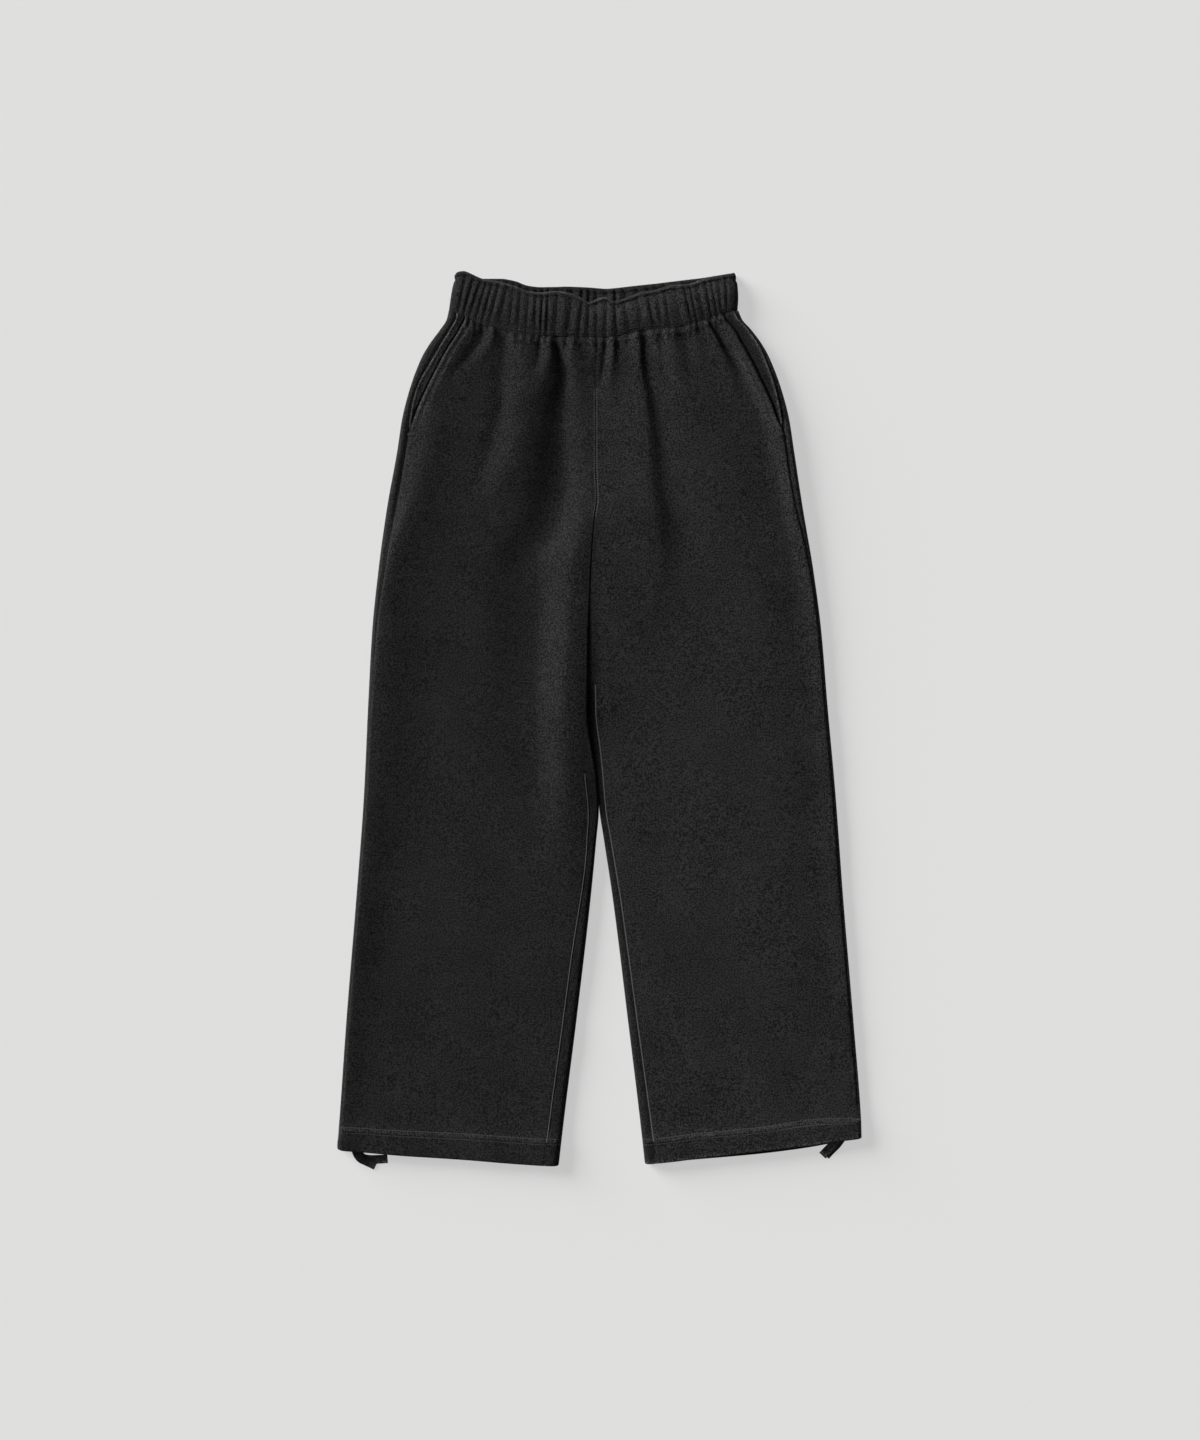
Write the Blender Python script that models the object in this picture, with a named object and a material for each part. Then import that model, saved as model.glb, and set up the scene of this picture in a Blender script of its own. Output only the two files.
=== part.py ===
"""Fleece trousers lying flat on their back, front up: a gathered elastic waistband, slanted side pockets,
wide straight legs with turned-up hems, and the free ends of the drawcord tapes in the hems.

The waist is at +Y, the hems at -Y, and z = 0 is the surface that the trousers lie on. "Right" and "left" are
the wearer's, so the right leg is on the -X side. Sizes and tables are in millimetres; MM turns them to metres.
"""

import bpy
import bmesh
import numpy as np

MM = 0.001
SEAM_GAP = 0.3  # clear space between two pieces that are sewn together
CROTCH_Y = 218.0  # where the four leg panels meet
CROTCH_GAP = 0.15  # each piece keeps this much from the crotch's line
SIDE_SIGN = {"right": -1.0, "left": 1.0}
BLACK_FLEECE = (0.019, 0.019, 0.020, 1.0)
BLACK_TAPE = (0.010, 0.011, 0.011, 1.0)
FLEECE_ROUGHNESS = 0.95
TAPE_ROUGHNESS = 0.75
SHARP_DEGREES = 50.0


def table(names, rows):
    """A table's columns by their names; the first column is the one that it is read by."""
    return dict(zip(names.split(), np.array(rows, float).T))


# The outline of each side, from the hems up to the waistband's seam.
OUTLINE = table("y right left", (
    (-496, -288.2, 288.0), (-466, -287.9, 287.6), (-461, -287.2, 286.8), (-442, -285.6, 286.0),
    (-332, -277.8, 278.0), (-200, -266.8, 266.8), (-84, -258.2, 258.2), (14, -253.8, 249.5),
    (97, -249.4, 242.8), (163, -242.8, 234.0), (229, -234.0, 223.0), (295, -222.0, 213.0),
    (328, -217.0, 207.5), (361, -208.8, 198.8), (394, -196.6, 186.6), (410, -187.5, 178.0),
    (427, -175.0, 165.5), (438, -168.0, 156.0), (450, -165.3, 151.2),
))

# The inner edge of each leg: the crease that the legs share, then the gap between them. Above the crotch
# it is the seam at the middle of the front and of the back.
INNER = table("y right left", (
    (-496, -46.2, 50.6), (-442, -40.2, 44.6), (-332, -26.6, 31.4), (-200, -11.2, 14.9),
    (-134, -4.6, 5.0), (-99, -0.9, -0.4), (-68, -3.0, -3.0), (9, -13.4, -13.4),
    (77, -12.7, -12.7), (161, -9.6, -9.6), (218, -5.8, -5.8), (240, -3.0, -3.0),
    (278, -4.4, -4.4), (363, -4.4, -4.4), (425, -2.0, -2.0),
))

# How far the inseam lies on the front, in from each leg's inner edge.
INSEAM = table("y right left", (
    (-496, 15.0, 11.5), (-440, 14.0, 10.0), (-265, 13.0, 7.7), (-156, 9.0, 7.0), (-68, 12.0, 6.6),
    (-20, 6.0, 9.0), (40, 2.5, 8.0), (90, 2.5, 2.5), (218, 2.5, 2.5),
))

# How far the back panel comes round on to the front, in from the outline, and where the front panel starts.
# The two differ only where the pocket is open and its facing shows between them.
SIDE_SEAM = table("y back_right front_right back_left front_left", (
    (-496, 2.4, 2.7, 2.4, 2.7), (-120, 2.4, 2.7, 2.4, 2.7), (-31, 2.4, 2.7, 2.4, 2.7),
    (40, 3.0, 3.3, 2.6, 2.9), (118, 4.6, 4.9, 3.0, 3.3), (160, 6.8, 7.1, 3.7, 4.0),
    (194, 7.8, 8.1, 4.8, 5.1), (233, 10.4, 10.7, 7.8, 8.1), (270, 10.2, 10.5, 8.8, 9.1),
    (295, 9.4, 9.7, 8.0, 8.3), (309, 9.2, 10.4, 7.6, 8.8), (345, 8.8, 21.0, 6.2, 16.0),
    (377, 8.2, 24.5, 5.6, 19.6), (405, 7.6, 22.0, 5.4, 20.5), (450, 7.4, 17.5, 8.5, 20.0),
))

# The rounding of the legs' two edges: how far in from the edge it reaches, and how high the edge is.
OUTER_ROLL = table("y reach shoulder", (
    (-496, 6.5, 5.6), (-464, 6.5, 5.6), (-440, 7.0, 4.4), (180, 8.0, 4.4), (300, 9.0, 5.0),
    (380, 10.0, 5.6), (450, 8.0, 6.2),
))
INNER_ROLL = table("y reach shoulder", (
    (-496, 6.5, 5.6), (-464, 6.5, 5.6), (-440, 7.0, 4.4), (-110, 7.0, 4.4), (-40, 7.5, 4.8),
    (60, 8.0, 5.2), (150, 7.0, 6.2), (200, 4.5, 7.8), (218, 3.4, 8.6),
))
ROLL = {"outer": OUTER_ROLL, "inner": INNER_ROLL}
FOOT_ROLL = table("y outer inner", ((-496, 4.5, 4.5), (150, 4.5, 4.5), (200, 4.5, 2.2), (218, 4.5, 0.7)))
FOOT_HEIGHT = 4.0

# The lay of the two layers: their height together, and the thickness of one, doubled in the turned-up hem
# and fuller where the gathers are sewn in.
LAY = table("y height cloth", (
    (-496, 11.2, 4.4), (-466, 11.2, 4.4), (-456, 9.4, 2.9), (-440, 8.8, 2.8), (130, 8.8, 2.8),
    (218, 9.6, 2.8), (300, 10.2, 2.8), (360, 11.0, 3.0), (400, 11.8, 3.6), (450, 12.4, 4.2),
))
LEAST_GAP = 0.8  # between the two layers in the deepest trough
LEAST_BEND = 0.4  # of the cloth's inner face, inside an edge
TROUGH_SOFTNESS = 0.6
FOLD_FADE = 8.0  # how fast a fold ends beyond its last knot

# The bottom edges of the two legs.
HEM = table("x front back", (
    (-288, -473.6, -473.6), (-280, -474.8, -474.8), (-261, -476.6, -476.7), (-234, -479.7, -479.9),
    (-148, -484.9, -485.3), (-44, -491.8, -491.8), (0, -491.6, -491.6), (50, -489.3, -489.3),
    (110, -483.0, -484.2), (173, -476.9, -479.2), (228, -470.4, -472.9), (262, -464.8, -466.2),
    (280, -461.8, -461.8), (288, -460.6, -460.6),
))

# The waistband: the seams of its front and back halves to the legs, and their top edges.
WAIST = table("x front_seam back_seam front_top back_top", (
    (-166, 448.0, 448.0, 486.0, 487.0), (-158, 445.0, 445.8, 488.5, 489.8), (-151, 442.0, 443.6, 490.3, 491.8),
    (-127, 431.0, 436.6, 481.8, 483.2), (-109, 426.5, 432.2, 478.8, 483.2), (-93, 422.0, 429.4, 474.3, 480.6),
    (-79, 420.0, 427.4, 469.0, 475.6), (-65, 419.3, 426.2, 467.2, 474.0), (-49, 418.8, 425.2, 468.8, 474.2),
    (-37, 418.2, 424.7, 467.6, 474.6), (-20, 418.0, 424.3, 461.2, 473.2), (-11, 417.8, 424.1, 456.4, 471.8),
    (-2, 417.6, 424.0, 460.6, 471.2), (7, 417.8, 424.1, 462.2, 471.2), (16, 418.4, 424.4, 457.9, 471.4),
    (28, 421.0, 425.0, 460.8, 473.2), (44, 424.8, 426.2, 466.8, 476.0), (61, 426.6, 428.0, 470.0, 477.8),
    (79, 428.4, 430.4, 475.2, 480.0), (99, 431.6, 434.2, 476.8, 482.4), (111, 435.4, 437.2, 481.2, 483.8),
    (130, 443.0, 443.0, 485.4, 486.8), (152, 447.0, 447.0, 489.0, 490.4),
))

# The waistband's two ends, from its seam (0) to its top edge (1), with the notch below the rolled rim.
BAND_ENDS = table("up right left", (
    (0.0, -165.4, 151.3), (0.35, -163.4, 152.2), (0.72, -160.4, 151.2), (0.80, -158.8, 149.6),
    (0.90, -159.4, 149.8), (1.0, -157.0, 148.0),
))
# Its profile from the seam to the top edge: the height of the front half, the swell of its pleats, and the
# heights of the undersides and of the back half.
BAND_PROFILE = table("up top pleat under back_top back_under", (
    (0.0, 12.8, 0.4, 7.6, 6.2, 0.4), (0.26, 15.2, 1.0, 7.2, 6.7, 0.0), (0.62, 15.2, 1.0, 7.2, 6.7, 0.0),
    (0.79, 14.0, 0.6, 7.2, 6.4, 0.0), (0.85, 12.8, 0.2, 7.2, 6.0, 0.0), (0.93, 14.6, 0.15, 7.3, 6.6, 0.1),
    (1.0, 12.2, 0.1, 8.8, 5.0, 1.2),
))
BAND_ROLL = 6.0  # reach of the rounding at each end of the waistband
FRONT_BAND_EDGE = 8.6  # height of the front half at its ends
BACK_BAND_EDGE = 2.6  # how far the back half's underside rises at its ends
BACK_BAND_SLOPE = 0.8  # and how far its upper side falls there
PLEAT_VALLEY = 0.5  # depth of the valleys between the pleats, as a share of the pleats' height

# The waistband's pleats: the middle of each at the top and at the seam, and its height.
PLEATS = table("top seam height", (
    (-141.0, -153.5, 1.5), (-132.5, -146.5, 1.5), (-126.0, -139.5, 1.1), (-119.5, -132.5, 1.2),
    (-113.0, -125.0, 1.2), (-104.5, -117.5, 1.8), (-97.0, -104.0, 0.8), (-90.0, -94.5, 1.3),
    (-81.5, -85.5, 1.0), (-73.0, -75.5, 1.4), (-65.5, -67.5, 1.5), (-59.0, -61.5, 1.8),
    (-52.0, -54.5, 1.5), (-37.5, -42.0, 1.8), (-22.5, -29.0, 1.6), (-15.0, -17.5, 1.5),
    (-7.5, -8.0, 1.2), (1.5, 2.0, 1.1), (13.5, 12.5, 1.8), (20.5, 27.0, 1.8), (33.5, 41.0, 1.3),
    (47.0, 56.0, 1.8), (57.0, 64.5, 1.1), (67.0, 73.5, 1.2), (76.0, 82.0, 0.9), (88.0, 98.0, 1.8),
    (95.5, 104.5, 1.2), (101.5, 110.5, 1.1), (111.5, 119.5, 1.6), (118.5, 126.0, 1.1),
    (125.5, 131.5, 1.0), (136.0, 137.5, 1.3),
))

# The folds and gathers of the front. Each runs through its knots, from the waist down: y, x, half-width and
# height, where a trough's height is negative.
FOLDS = {
    "long_ridge_right_leg": (
        (418, -33, 5, 1.6), (388, -30, 8, 1.8), (341, -28, 10, 2.2), (286, -30, 12, 2.8), (231, -37, 15, 3.6),
        (176, -48, 17, 4.4), (88, -52, 17, 4.6), (0, -50, 17, 4.2), (-66, -44, 15, 2.6), (-125, -38, 13, 0)),
    "deep_trough_right": (
        (423, -51, 4.5, -3.4), (388, -47, 5.5, -4.0), (320, -54, 9, -3.4), (264, -63, 13, -2.6),
        (220, -76, 17, -2.0), (176, -92, 19, -1.5), (110, -112, 18, 0)),
    "ridge_right_thigh": ((416, -101, 7, 1.6), (362, -101, 9, 2.4), (306, -102, 11, 2.2), (262, -118, 13, 1.2),
                          (225, -132, 14, 0)),
    "slant_trough_right": ((434, -137, 6, -2.2), (405, -145, 7, -2.8), (372, -134, 10, -2.0),
                           (339, -126, 12, -1.2), (295, -130, 14, 0)),
    "gather_right_1": ((430, -124, 6, 2.2), (398, -129, 7, 1.0), (372, -133, 8, 0)),
    "gather_right_2": ((420, -60, 5, 2.6), (394, -62, 6, 1.6), (350, -66, 9, 0)),
    "gather_right_3": ((418, -9, 6, 2.2), (392, -12, 7, 1.0), (362, -14, 8, 0)),
    "gather_left_1": ((418, 11, 5, 2.6), (386, 14, 7, 1.6), (340, 20, 10, 0)),
    "trough_left_1": ((418, 18.5, 3.6, -2.8), (396, 16, 5, -1.6), (370, 14, 6, 0)),
    "gather_left_2": ((424, 40, 5.5, 2.6), (398, 38, 8, 2.0), (330, 38, 10, 1.2), (270, 40, 12, 0)),
    "long_trough_left": (
        (424, 49, 4.5, -3.2), (392, 50, 5.5, -3.4), (326, 58, 7, -3.2), (271, 62, 8, -2.8), (216, 69, 9, -1.8),
        (176, 74, 10, -0.8), (130, 74, 11, 0)),
    "ridge_left_thigh": ((398, 76, 9, 1.6), (360, 78, 10, 2.0), (310, 80, 12, 1.2), (265, 84, 14, 0)),
    "gather_left_3": ((430, 95, 7, 1.8), (400, 99, 9, 1.0), (370, 103, 10, 0)),
    "slant_trough_left": ((436, 121, 4.5, -2.4), (409, 139, 6, -2.0), (364, 156, 7, -1.4), (325, 166, 9, 0)),
    "pocket_roll_right": ((330, -199, 9, 0.8), (262, -209, 10, 1.8), (190, -225, 9, 1.2), (120, -234, 8, 0)),
    "hip_trough_right": ((330, -178, 12, 0), (264, -188, 14, -1.8), (176, -202, 15, -2.0), (75, -218, 14, 0)),
    "pocket_roll_left": ((330, 187, 9, 0.8), (272, 205, 9, 1.8), (189, 222, 9, 1.2), (120, 230, 8, 0)),
    "hip_trough_left": ((345, 164, 10, 0), (262, 177, 12, -1.6), (174, 187, 12, -1.6), (100, 196, 12, 0)),
    "edge_dip_right_leg": ((20, -238, 10, 0), (-100, -242, 11, -0.9), (-400, -266, 10, -0.9),
                           (-450, -270, 10, 0)),
    "edge_dip_left_leg": ((-40, 238, 11, 0), (-140, 240, 12, -0.7), (-300, 256, 11, -0.7), (-420, 264, 11, 0)),
}

# The free ends of the drawcord tapes: their middle lines, from inside the mouth of the hem to the tip.
TAPE_WIDTH = 9.6
TAPE_THICKNESS = 0.8
TAPES = {
    "hem_tape_right_outer": (
        (-270.0, -468.0, 6.1), (-267.9, -474.5, 6.1), (-265.8, -479.6, 5.8), (-262.4, -484.2, 4.4),
        (-257.2, -487.2, 2.6), (-251.9, -489.8, 1.6), (-246.4, -492.6, 1.4)),
    "hem_tape_right_inner": (
        (-268.6, -468.0, 5.1), (-266.4, -474.5, 5.1), (-263.4, -480.6, 4.4), (-258.0, -484.2, 1.6),
        (-250.5, -485.4, 0.45), (-242.0, -485.2, 0.45), (-233.4, -484.9, 0.45)),
    "hem_tape_left_outer": (
        (270.8, -456.0, 5.1), (266.6, -462.6, 5.1), (262.4, -468.4, 5.0), (258.4, -473.4, 2.6),
        (254.2, -478.2, 0.5), (249.8, -483.0, 0.45)),
    "hem_tape_left_inner": (
        (267.6, -456.0, 6.1), (263.4, -461.6, 6.1), (258.8, -467.2, 6.1), (254.4, -472.2, 4.0),
        (250.2, -477.0, 1.7), (245.8, -481.8, 1.6)),
}

# Where the panels have their rows: levels, which are heights at the inner edge and follow the hem and the
# waist seam towards the outer edge.
LEG_LEVELS = (-466, -457, -440, -330, -200, -99, -50, 10, 80, 150, 190)
HIP_LEVELS = (245, 285, 307, 335, 358, 380, 400)
FACING_LEVELS = (307, 335, 358, 380, 400)
HEM_BENDS_FROM = -400.0  # below this level the rows bend towards the hem's edge
HEM_BENDS_OVER = 86.0
WAIST_BENDS_FROM = 290.0  # above this level they bend towards the waist seam
WAIST_BENDS_OVER = 126.0
BENDING_ROUNDS = 6
HEM_ROUND = 2.4  # the rounding along the hem's fold
FOLDED_EDGE = 0.5  # how thin the fold is at its very edge

# How the panels are divided across.
FRONT_MARGINS = (0.0, 2.0, 5.0, 9.0)
FRONT_DIVISIONS = 12
BACK_TURNS = (1.0, 0.5, 0.14, 0.0)
FOOT_ANGLES = (58.0, 28.0, 0.0)
BACK_DIVISIONS = 8
FACING_DIVISIONS = 3
BAND_MARGINS = (0.0, 1.5, 3.5, 6.5)
BAND_BACK_DIVISIONS = 16
FACING_RIDGE = 1.0  # how far the facing bulges between its edges
FACING_GAP = 0.4  # its clear space at each edge, measured across the leg


def smooth(columns, name, at):
    """A table's column, read along its first column by a smooth curve that doesn't overshoot its rows."""
    keys = columns[next(iter(columns))]
    values = columns[name]
    steps = np.diff(keys)
    slopes = np.diff(values) / steps
    both = slopes[:-1] * slopes[1:]
    total = np.where(both > 0, slopes[:-1] + slopes[1:], 1.0)
    middle = np.where(both > 0, 2 * both / total, 0.0)
    tangents = np.concatenate([slopes[:1], middle, slopes[-1:]])
    place = np.clip(np.asarray(at, float), keys[0], keys[-1])
    i = np.clip(np.searchsorted(keys, place, "right") - 1, 0, len(steps) - 1)
    t = (place - keys[i]) / steps[i]
    rise = values[i] + (values[i + 1] - values[i]) * t * t * (3 - 2 * t)
    bend = (tangents[i] - slopes[i]) * (1 - t) - (tangents[i + 1] - slopes[i]) * t
    return rise + steps[i] * t * (1 - t) * (slopes[i] * (1 - 2 * t) + bend)


def folds(x, y):
    """The height that the folds and gathers add to the front at (x, y)."""
    height = np.zeros(np.shape(x))
    for knots in FOLDS.values():
        path = table("y x width height", knots[::-1])
        past = np.maximum(path["y"][0] - y, 0) + np.maximum(y - path["y"][-1], 0)
        beside = (x - smooth(path, "x", y)) / smooth(path, "width", y)
        height += smooth(path, "height", y) * np.exp(-((past / FOLD_FADE) ** 2) - beside**2)
    return height


def rounded(distance, reach):
    """1 away from an edge, falling to 0 at it, as a quarter of an ellipse does."""
    away = np.clip(distance / reach, 0, 1)
    return np.sqrt(np.maximum(1 - (1 - away) ** 2, 0))


class Leg:
    """One side of the trousers at the heights y: where its edges are, and how the cloth rounds over them.

    A point's place across is measured in from the "outer" or the "inner" edge, and each method gives the
    point on the cloth's outer face and the one behind it on its inner face, as (x, z).
    """

    def __init__(self, side, y, level):
        self.y = y
        self.level = level
        self.torso = level > CROTCH_Y
        self.cloth = smooth(LAY, "cloth", level)
        sign = SIDE_SIGN[side]
        self.edge_x = {"outer": smooth(OUTLINE, side, y), "inner": smooth(INNER, side, y) + sign * SEAM_GAP / 2}
        self.inward = {"outer": -sign, "inner": sign}
        self.width = np.abs(self.edge_x["outer"] - self.edge_x["inner"])
        self.inseam = smooth(INSEAM, side, y)
        self.back_seam = smooth(SIDE_SEAM, "back_" + side, y)
        self.front_seam = smooth(SIDE_SEAM, "front_" + side, y)

    def height(self, x):
        """How high the front's upper surface lies, away from the edges."""
        least = 2 * self.cloth + LEAST_GAP
        spare = smooth(LAY, "height", self.level) + folds(x, self.y) - least
        return least + np.logaddexp(0, spare / TROUGH_SOFTNESS) * TROUGH_SOFTNESS

    def behind(self, across, reach):
        """Where across the inner face lies, behind a point of the outer face."""
        limit = np.maximum(reach, self.cloth + LEAST_BEND)
        return np.where(across < limit, self.cloth + (limit - self.cloth) * across / limit, across)

    def top(self, edge, across, beside=None):
        """On top of the leg. At a seam, beside is where the other piece ends, and the gap is kept inside too."""
        roll = ROLL[edge]
        reach = smooth(roll, "reach", self.level)
        shoulder = smooth(roll, "shoulder", self.level)
        flat = self.torso & (edge == "inner")
        x = self.edge_x[edge] + self.inward[edge] * across
        height = self.height(x)
        over = np.where(flat, 1.0, rounded(across, reach))
        outer = (x, shoulder + (height - shoulder) * over)
        if beside is None:
            deep = self.behind(across, reach)
        else:
            deep = self.behind(beside, reach) + across - beside
        deep = np.where(flat, across, deep)
        x = self.edge_x[edge] + self.inward[edge] * deep
        height = self.height(x) - self.cloth
        shoulder = np.minimum(shoulder, height - LEAST_BEND)
        limit = np.maximum(reach, self.cloth + LEAST_BEND)
        over = np.where(flat, 1.0, rounded(deep - self.cloth, limit - self.cloth))
        return outer, (x, shoulder + (height - shoulder) * over)

    def foot(self, edge, angle):
        """Where the cloth turns under, from upright (90) to flat on the surface (0)."""
        reach = smooth(FOOT_ROLL, edge, self.level)
        limit = np.maximum(reach, self.cloth + LEAST_BEND)
        turn = 1 - np.sin(np.radians(angle))
        fall = np.cos(np.radians(angle))
        inner_top = np.maximum(FOOT_HEIGHT, self.cloth + LEAST_BEND)
        flat = self.torso & (edge == "inner")
        outer_across = np.where(flat, 0.0, reach * turn)
        inner_across = np.where(flat, 0.0, self.cloth + (limit - self.cloth) * turn)
        start, way = self.edge_x[edge], self.inward[edge]
        return ((start + way * outer_across, FOOT_HEIGHT * (1 - fall)),
                (start + way * inner_across, inner_top - (inner_top - self.cloth) * fall))

    def floor(self, share):
        """On the surface that the trousers lie on, between the two turned edges."""
        ends = [self.foot(edge, 0.0) for edge in ("outer", "inner")]
        return tuple((a[0] + (b[0] - a[0]) * share, a[1] + (b[1] - a[1]) * share) for a, b in zip(*ends))


def bent_rows(levels, x, inner_x, layer):
    """The y of a column's rows: their levels, bent to follow the hem at one end and the waist at the other."""
    hem_at = smooth(HEM, layer, x) - smooth(HEM, "front", inner_x)
    waist_at = smooth(WAIST, layer + "_seam", x) - smooth(WAIST, "front_seam", inner_x)
    near_hem = np.clip((HEM_BENDS_FROM - levels) / HEM_BENDS_OVER, 0, 1)
    near_waist = np.clip((levels - WAIST_BENDS_FROM) / WAIST_BENDS_OVER, 0, 1) ** 1.5
    return levels + hem_at * near_hem + waist_at * near_waist


def laid_out(side, levels, columns):
    """The outer and inner grids of a panel. Each column is a function of the Leg, with the layer, front or
    back, whose edges it follows."""
    levels = np.array(levels, float)
    inner_x = smooth(INNER, side, levels)
    grids = ([], [])
    for place, layer in columns:
        for face, grid in enumerate(grids):
            y = levels
            for _ in range(BENDING_ROUNDS):
                x, z = place(Leg(side, y, levels))[face]
                y = bent_rows(levels, x, inner_x, layer)
            grid.append(np.stack([x, y, z * np.ones(len(y))], axis=-1))
    return [np.stack(grid, axis=1) for grid in grids]


def waist_level(side):
    return float(smooth(WAIST, "front_seam", INNER[side][-1])) - SEAM_GAP / 2


def panel_levels(side):
    """All of a panel's levels, from the hem's edge to the waist seam."""
    hem = float(smooth(HEM, "front", smooth(INNER, side, HEM["front"].min())))
    return (hem, hem + HEM_ROUND, *LEG_LEVELS, CROTCH_Y, *HIP_LEVELS, waist_level(side))


def round_hem(outer, inner):
    """Thins a panel at the hem's edge, where its cloth is folded over."""
    middle = (outer[0] + inner[0]) / 2
    outer[0] = middle + (outer[0] - middle) * FOLDED_EDGE
    inner[0] = middle + (inner[0] - middle) * FOLDED_EDGE


def front_panel(side):
    """A front: the top of one side, from the pocket's edge and side seam to the centre seam and inseam."""
    places = [lambda leg: leg.top("outer", leg.front_seam, leg.back_seam)]
    for margin in FRONT_MARGINS[1:]:
        places.append(lambda leg, m=margin: leg.top("outer", leg.front_seam + m))
    reach = FRONT_MARGINS[-1]
    for k in range(1, FRONT_DIVISIONS):
        share = k / FRONT_DIVISIONS
        places.append(lambda leg, s=share: leg.top(
            "inner", (leg.width - leg.front_seam - reach) * (1 - s) + (leg.inseam + reach) * s))
    for margin in FRONT_MARGINS[:0:-1]:
        places.append(lambda leg, m=margin: leg.top("inner", leg.inseam + m))
    places.append(lambda leg: leg.top("inner", leg.inseam, leg.inseam - SEAM_GAP))
    places.append(lambda leg: leg.top("inner", 0.0 * leg.y))
    levels = panel_levels(side)
    outer, inner = laid_out(side, levels, [(place, "front") for place in places])
    round_hem(outer, inner)
    crotch = levels.index(CROTCH_Y)
    outer[crotch, -1, 1] += CROTCH_GAP
    inner[crotch, -1, 1] += CROTCH_GAP
    present = np.ones((len(levels) - 1, len(places) - 1), bool)
    present[:crotch, -1] = False
    return outer, inner, present


def back_panel(side):
    """A back: from the side seam on top, round the outer edge and over the floor to the centre seam, and
    in the leg round the inner edge as well, as far as the inseam on top."""
    over_outer = [lambda leg, t=turn: leg.top("outer", leg.back_seam * t) for turn in BACK_TURNS]
    floor = [lambda leg, a=angle: leg.foot("outer", a) for angle in FOOT_ANGLES]
    for k in range(1, BACK_DIVISIONS):
        floor.append(lambda leg, s=k / BACK_DIVISIONS: leg.floor(s))
    centre = len(over_outer) + len(floor)
    floor += [lambda leg, a=angle: leg.foot("inner", a) for angle in FOOT_ANGLES[::-1]]
    over_inner = [lambda leg, t=turn: leg.top("inner", (leg.inseam - SEAM_GAP) * t) for turn in BACK_TURNS[::-1]]
    columns = [(place, "front") for place in over_outer]
    columns += [(place, "back") for place in floor]
    columns += [(place, "front") for place in over_inner]
    levels = panel_levels(side)
    outer, inner = laid_out(side, levels, columns)
    round_hem(outer, inner)
    crotch = levels.index(CROTCH_Y)
    outer[crotch, centre + 1:, 1] -= CROTCH_GAP
    inner[crotch, centre + 1:, 1] -= CROTCH_GAP
    present = np.ones((len(levels) - 1, len(columns) - 1), bool)
    present[crotch:, centre:] = False
    return outer, inner, present


def pocket_facing(side):
    """The strip that shows in the pocket's opening, between the back's edge and the front's."""
    columns = []
    for k in range(FACING_DIVISIONS + 1):
        share = k / FACING_DIVISIONS
        columns.append((lambda leg, s=share: leg.top(
            "outer", (leg.back_seam + FACING_GAP) * (1 - s) + (leg.front_seam - FACING_GAP) * s,
            leg.back_seam), "front"))
    outer, inner = laid_out(side, (*FACING_LEVELS, waist_level(side)), columns)
    ridge = FACING_RIDGE * np.sin(np.pi * np.arange(FACING_DIVISIONS + 1) / FACING_DIVISIONS)
    outer[:, :, 2] += ridge
    inner[:, :, 2] += ridge / 2
    return outer, inner, None


def band_columns(pleated):
    """The waistband's columns: their place at the seam and at the top edge, and how far a pleat lifts them."""
    ends = [(BAND_ENDS[side][0], BAND_ENDS[side][-1], 0.0) for side in ("right", "left")]
    if pleated:
        ridges = list(zip(PLEATS["seam"], PLEATS["top"], PLEATS["height"]))
    else:
        shares = np.arange(1, BAND_BACK_DIVISIONS) / BAND_BACK_DIVISIONS
        ridges = [tuple(a + (b - a) * share for a, b in zip(*ends)) for share in shares]
    columns = [(ends[0][0] + m, ends[0][1] + m, 0.0) for m in BAND_MARGINS]
    for k, ridge in enumerate(ridges):
        if pleated and k > 0:
            before = ridges[k - 1]
            valley = -PLEAT_VALLEY * min(before[2], ridge[2])
            columns.append(((before[0] + ridge[0]) / 2, (before[1] + ridge[1]) / 2, valley))
        columns.append(ridge)
    columns += [(ends[1][0] - m, ends[1][1] - m, 0.0) for m in BAND_MARGINS[::-1]]
    return np.array(columns).T


def waistband(half):
    """One half of the waistband, front or back: a folded casing, thicker than the panels."""
    seam_x, top_x, lift = band_columns(half == "front")
    up = BAND_PROFILE["up"][:, None]
    x = seam_x + (top_x - seam_x) * up
    low = smooth(WAIST, half + "_seam", seam_x) + SEAM_GAP / 2
    high = smooth(WAIST, half + "_top", top_x)
    y = low + (high - low) * up
    right = smooth(BAND_ENDS, "right", up)
    left = smooth(BAND_ENDS, "left", up)
    margins = len(BAND_MARGINS)
    x[:, :margins] = right + BAND_MARGINS
    x[:, -margins:] = left - np.array(BAND_MARGINS[::-1])
    over = rounded(np.minimum(x - right, left - x), BAND_ROLL)
    if half == "front":
        top = BAND_PROFILE["top"][:, None] + BAND_PROFILE["pleat"][:, None] * lift
        under = BAND_PROFILE["under"][:, None] + 0.0 * x
        top = FRONT_BAND_EDGE + (top - FRONT_BAND_EDGE) * over
    else:
        top = BAND_PROFILE["back_top"][:, None] + 0.0 * x
        under = BAND_PROFILE["back_under"][:, None] + BACK_BAND_EDGE * (1 - over)
        top = top - BACK_BAND_SLOPE * (1 - over)
    return np.stack([x, y, top], axis=-1), np.stack([x, y, under], axis=-1), None


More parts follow.
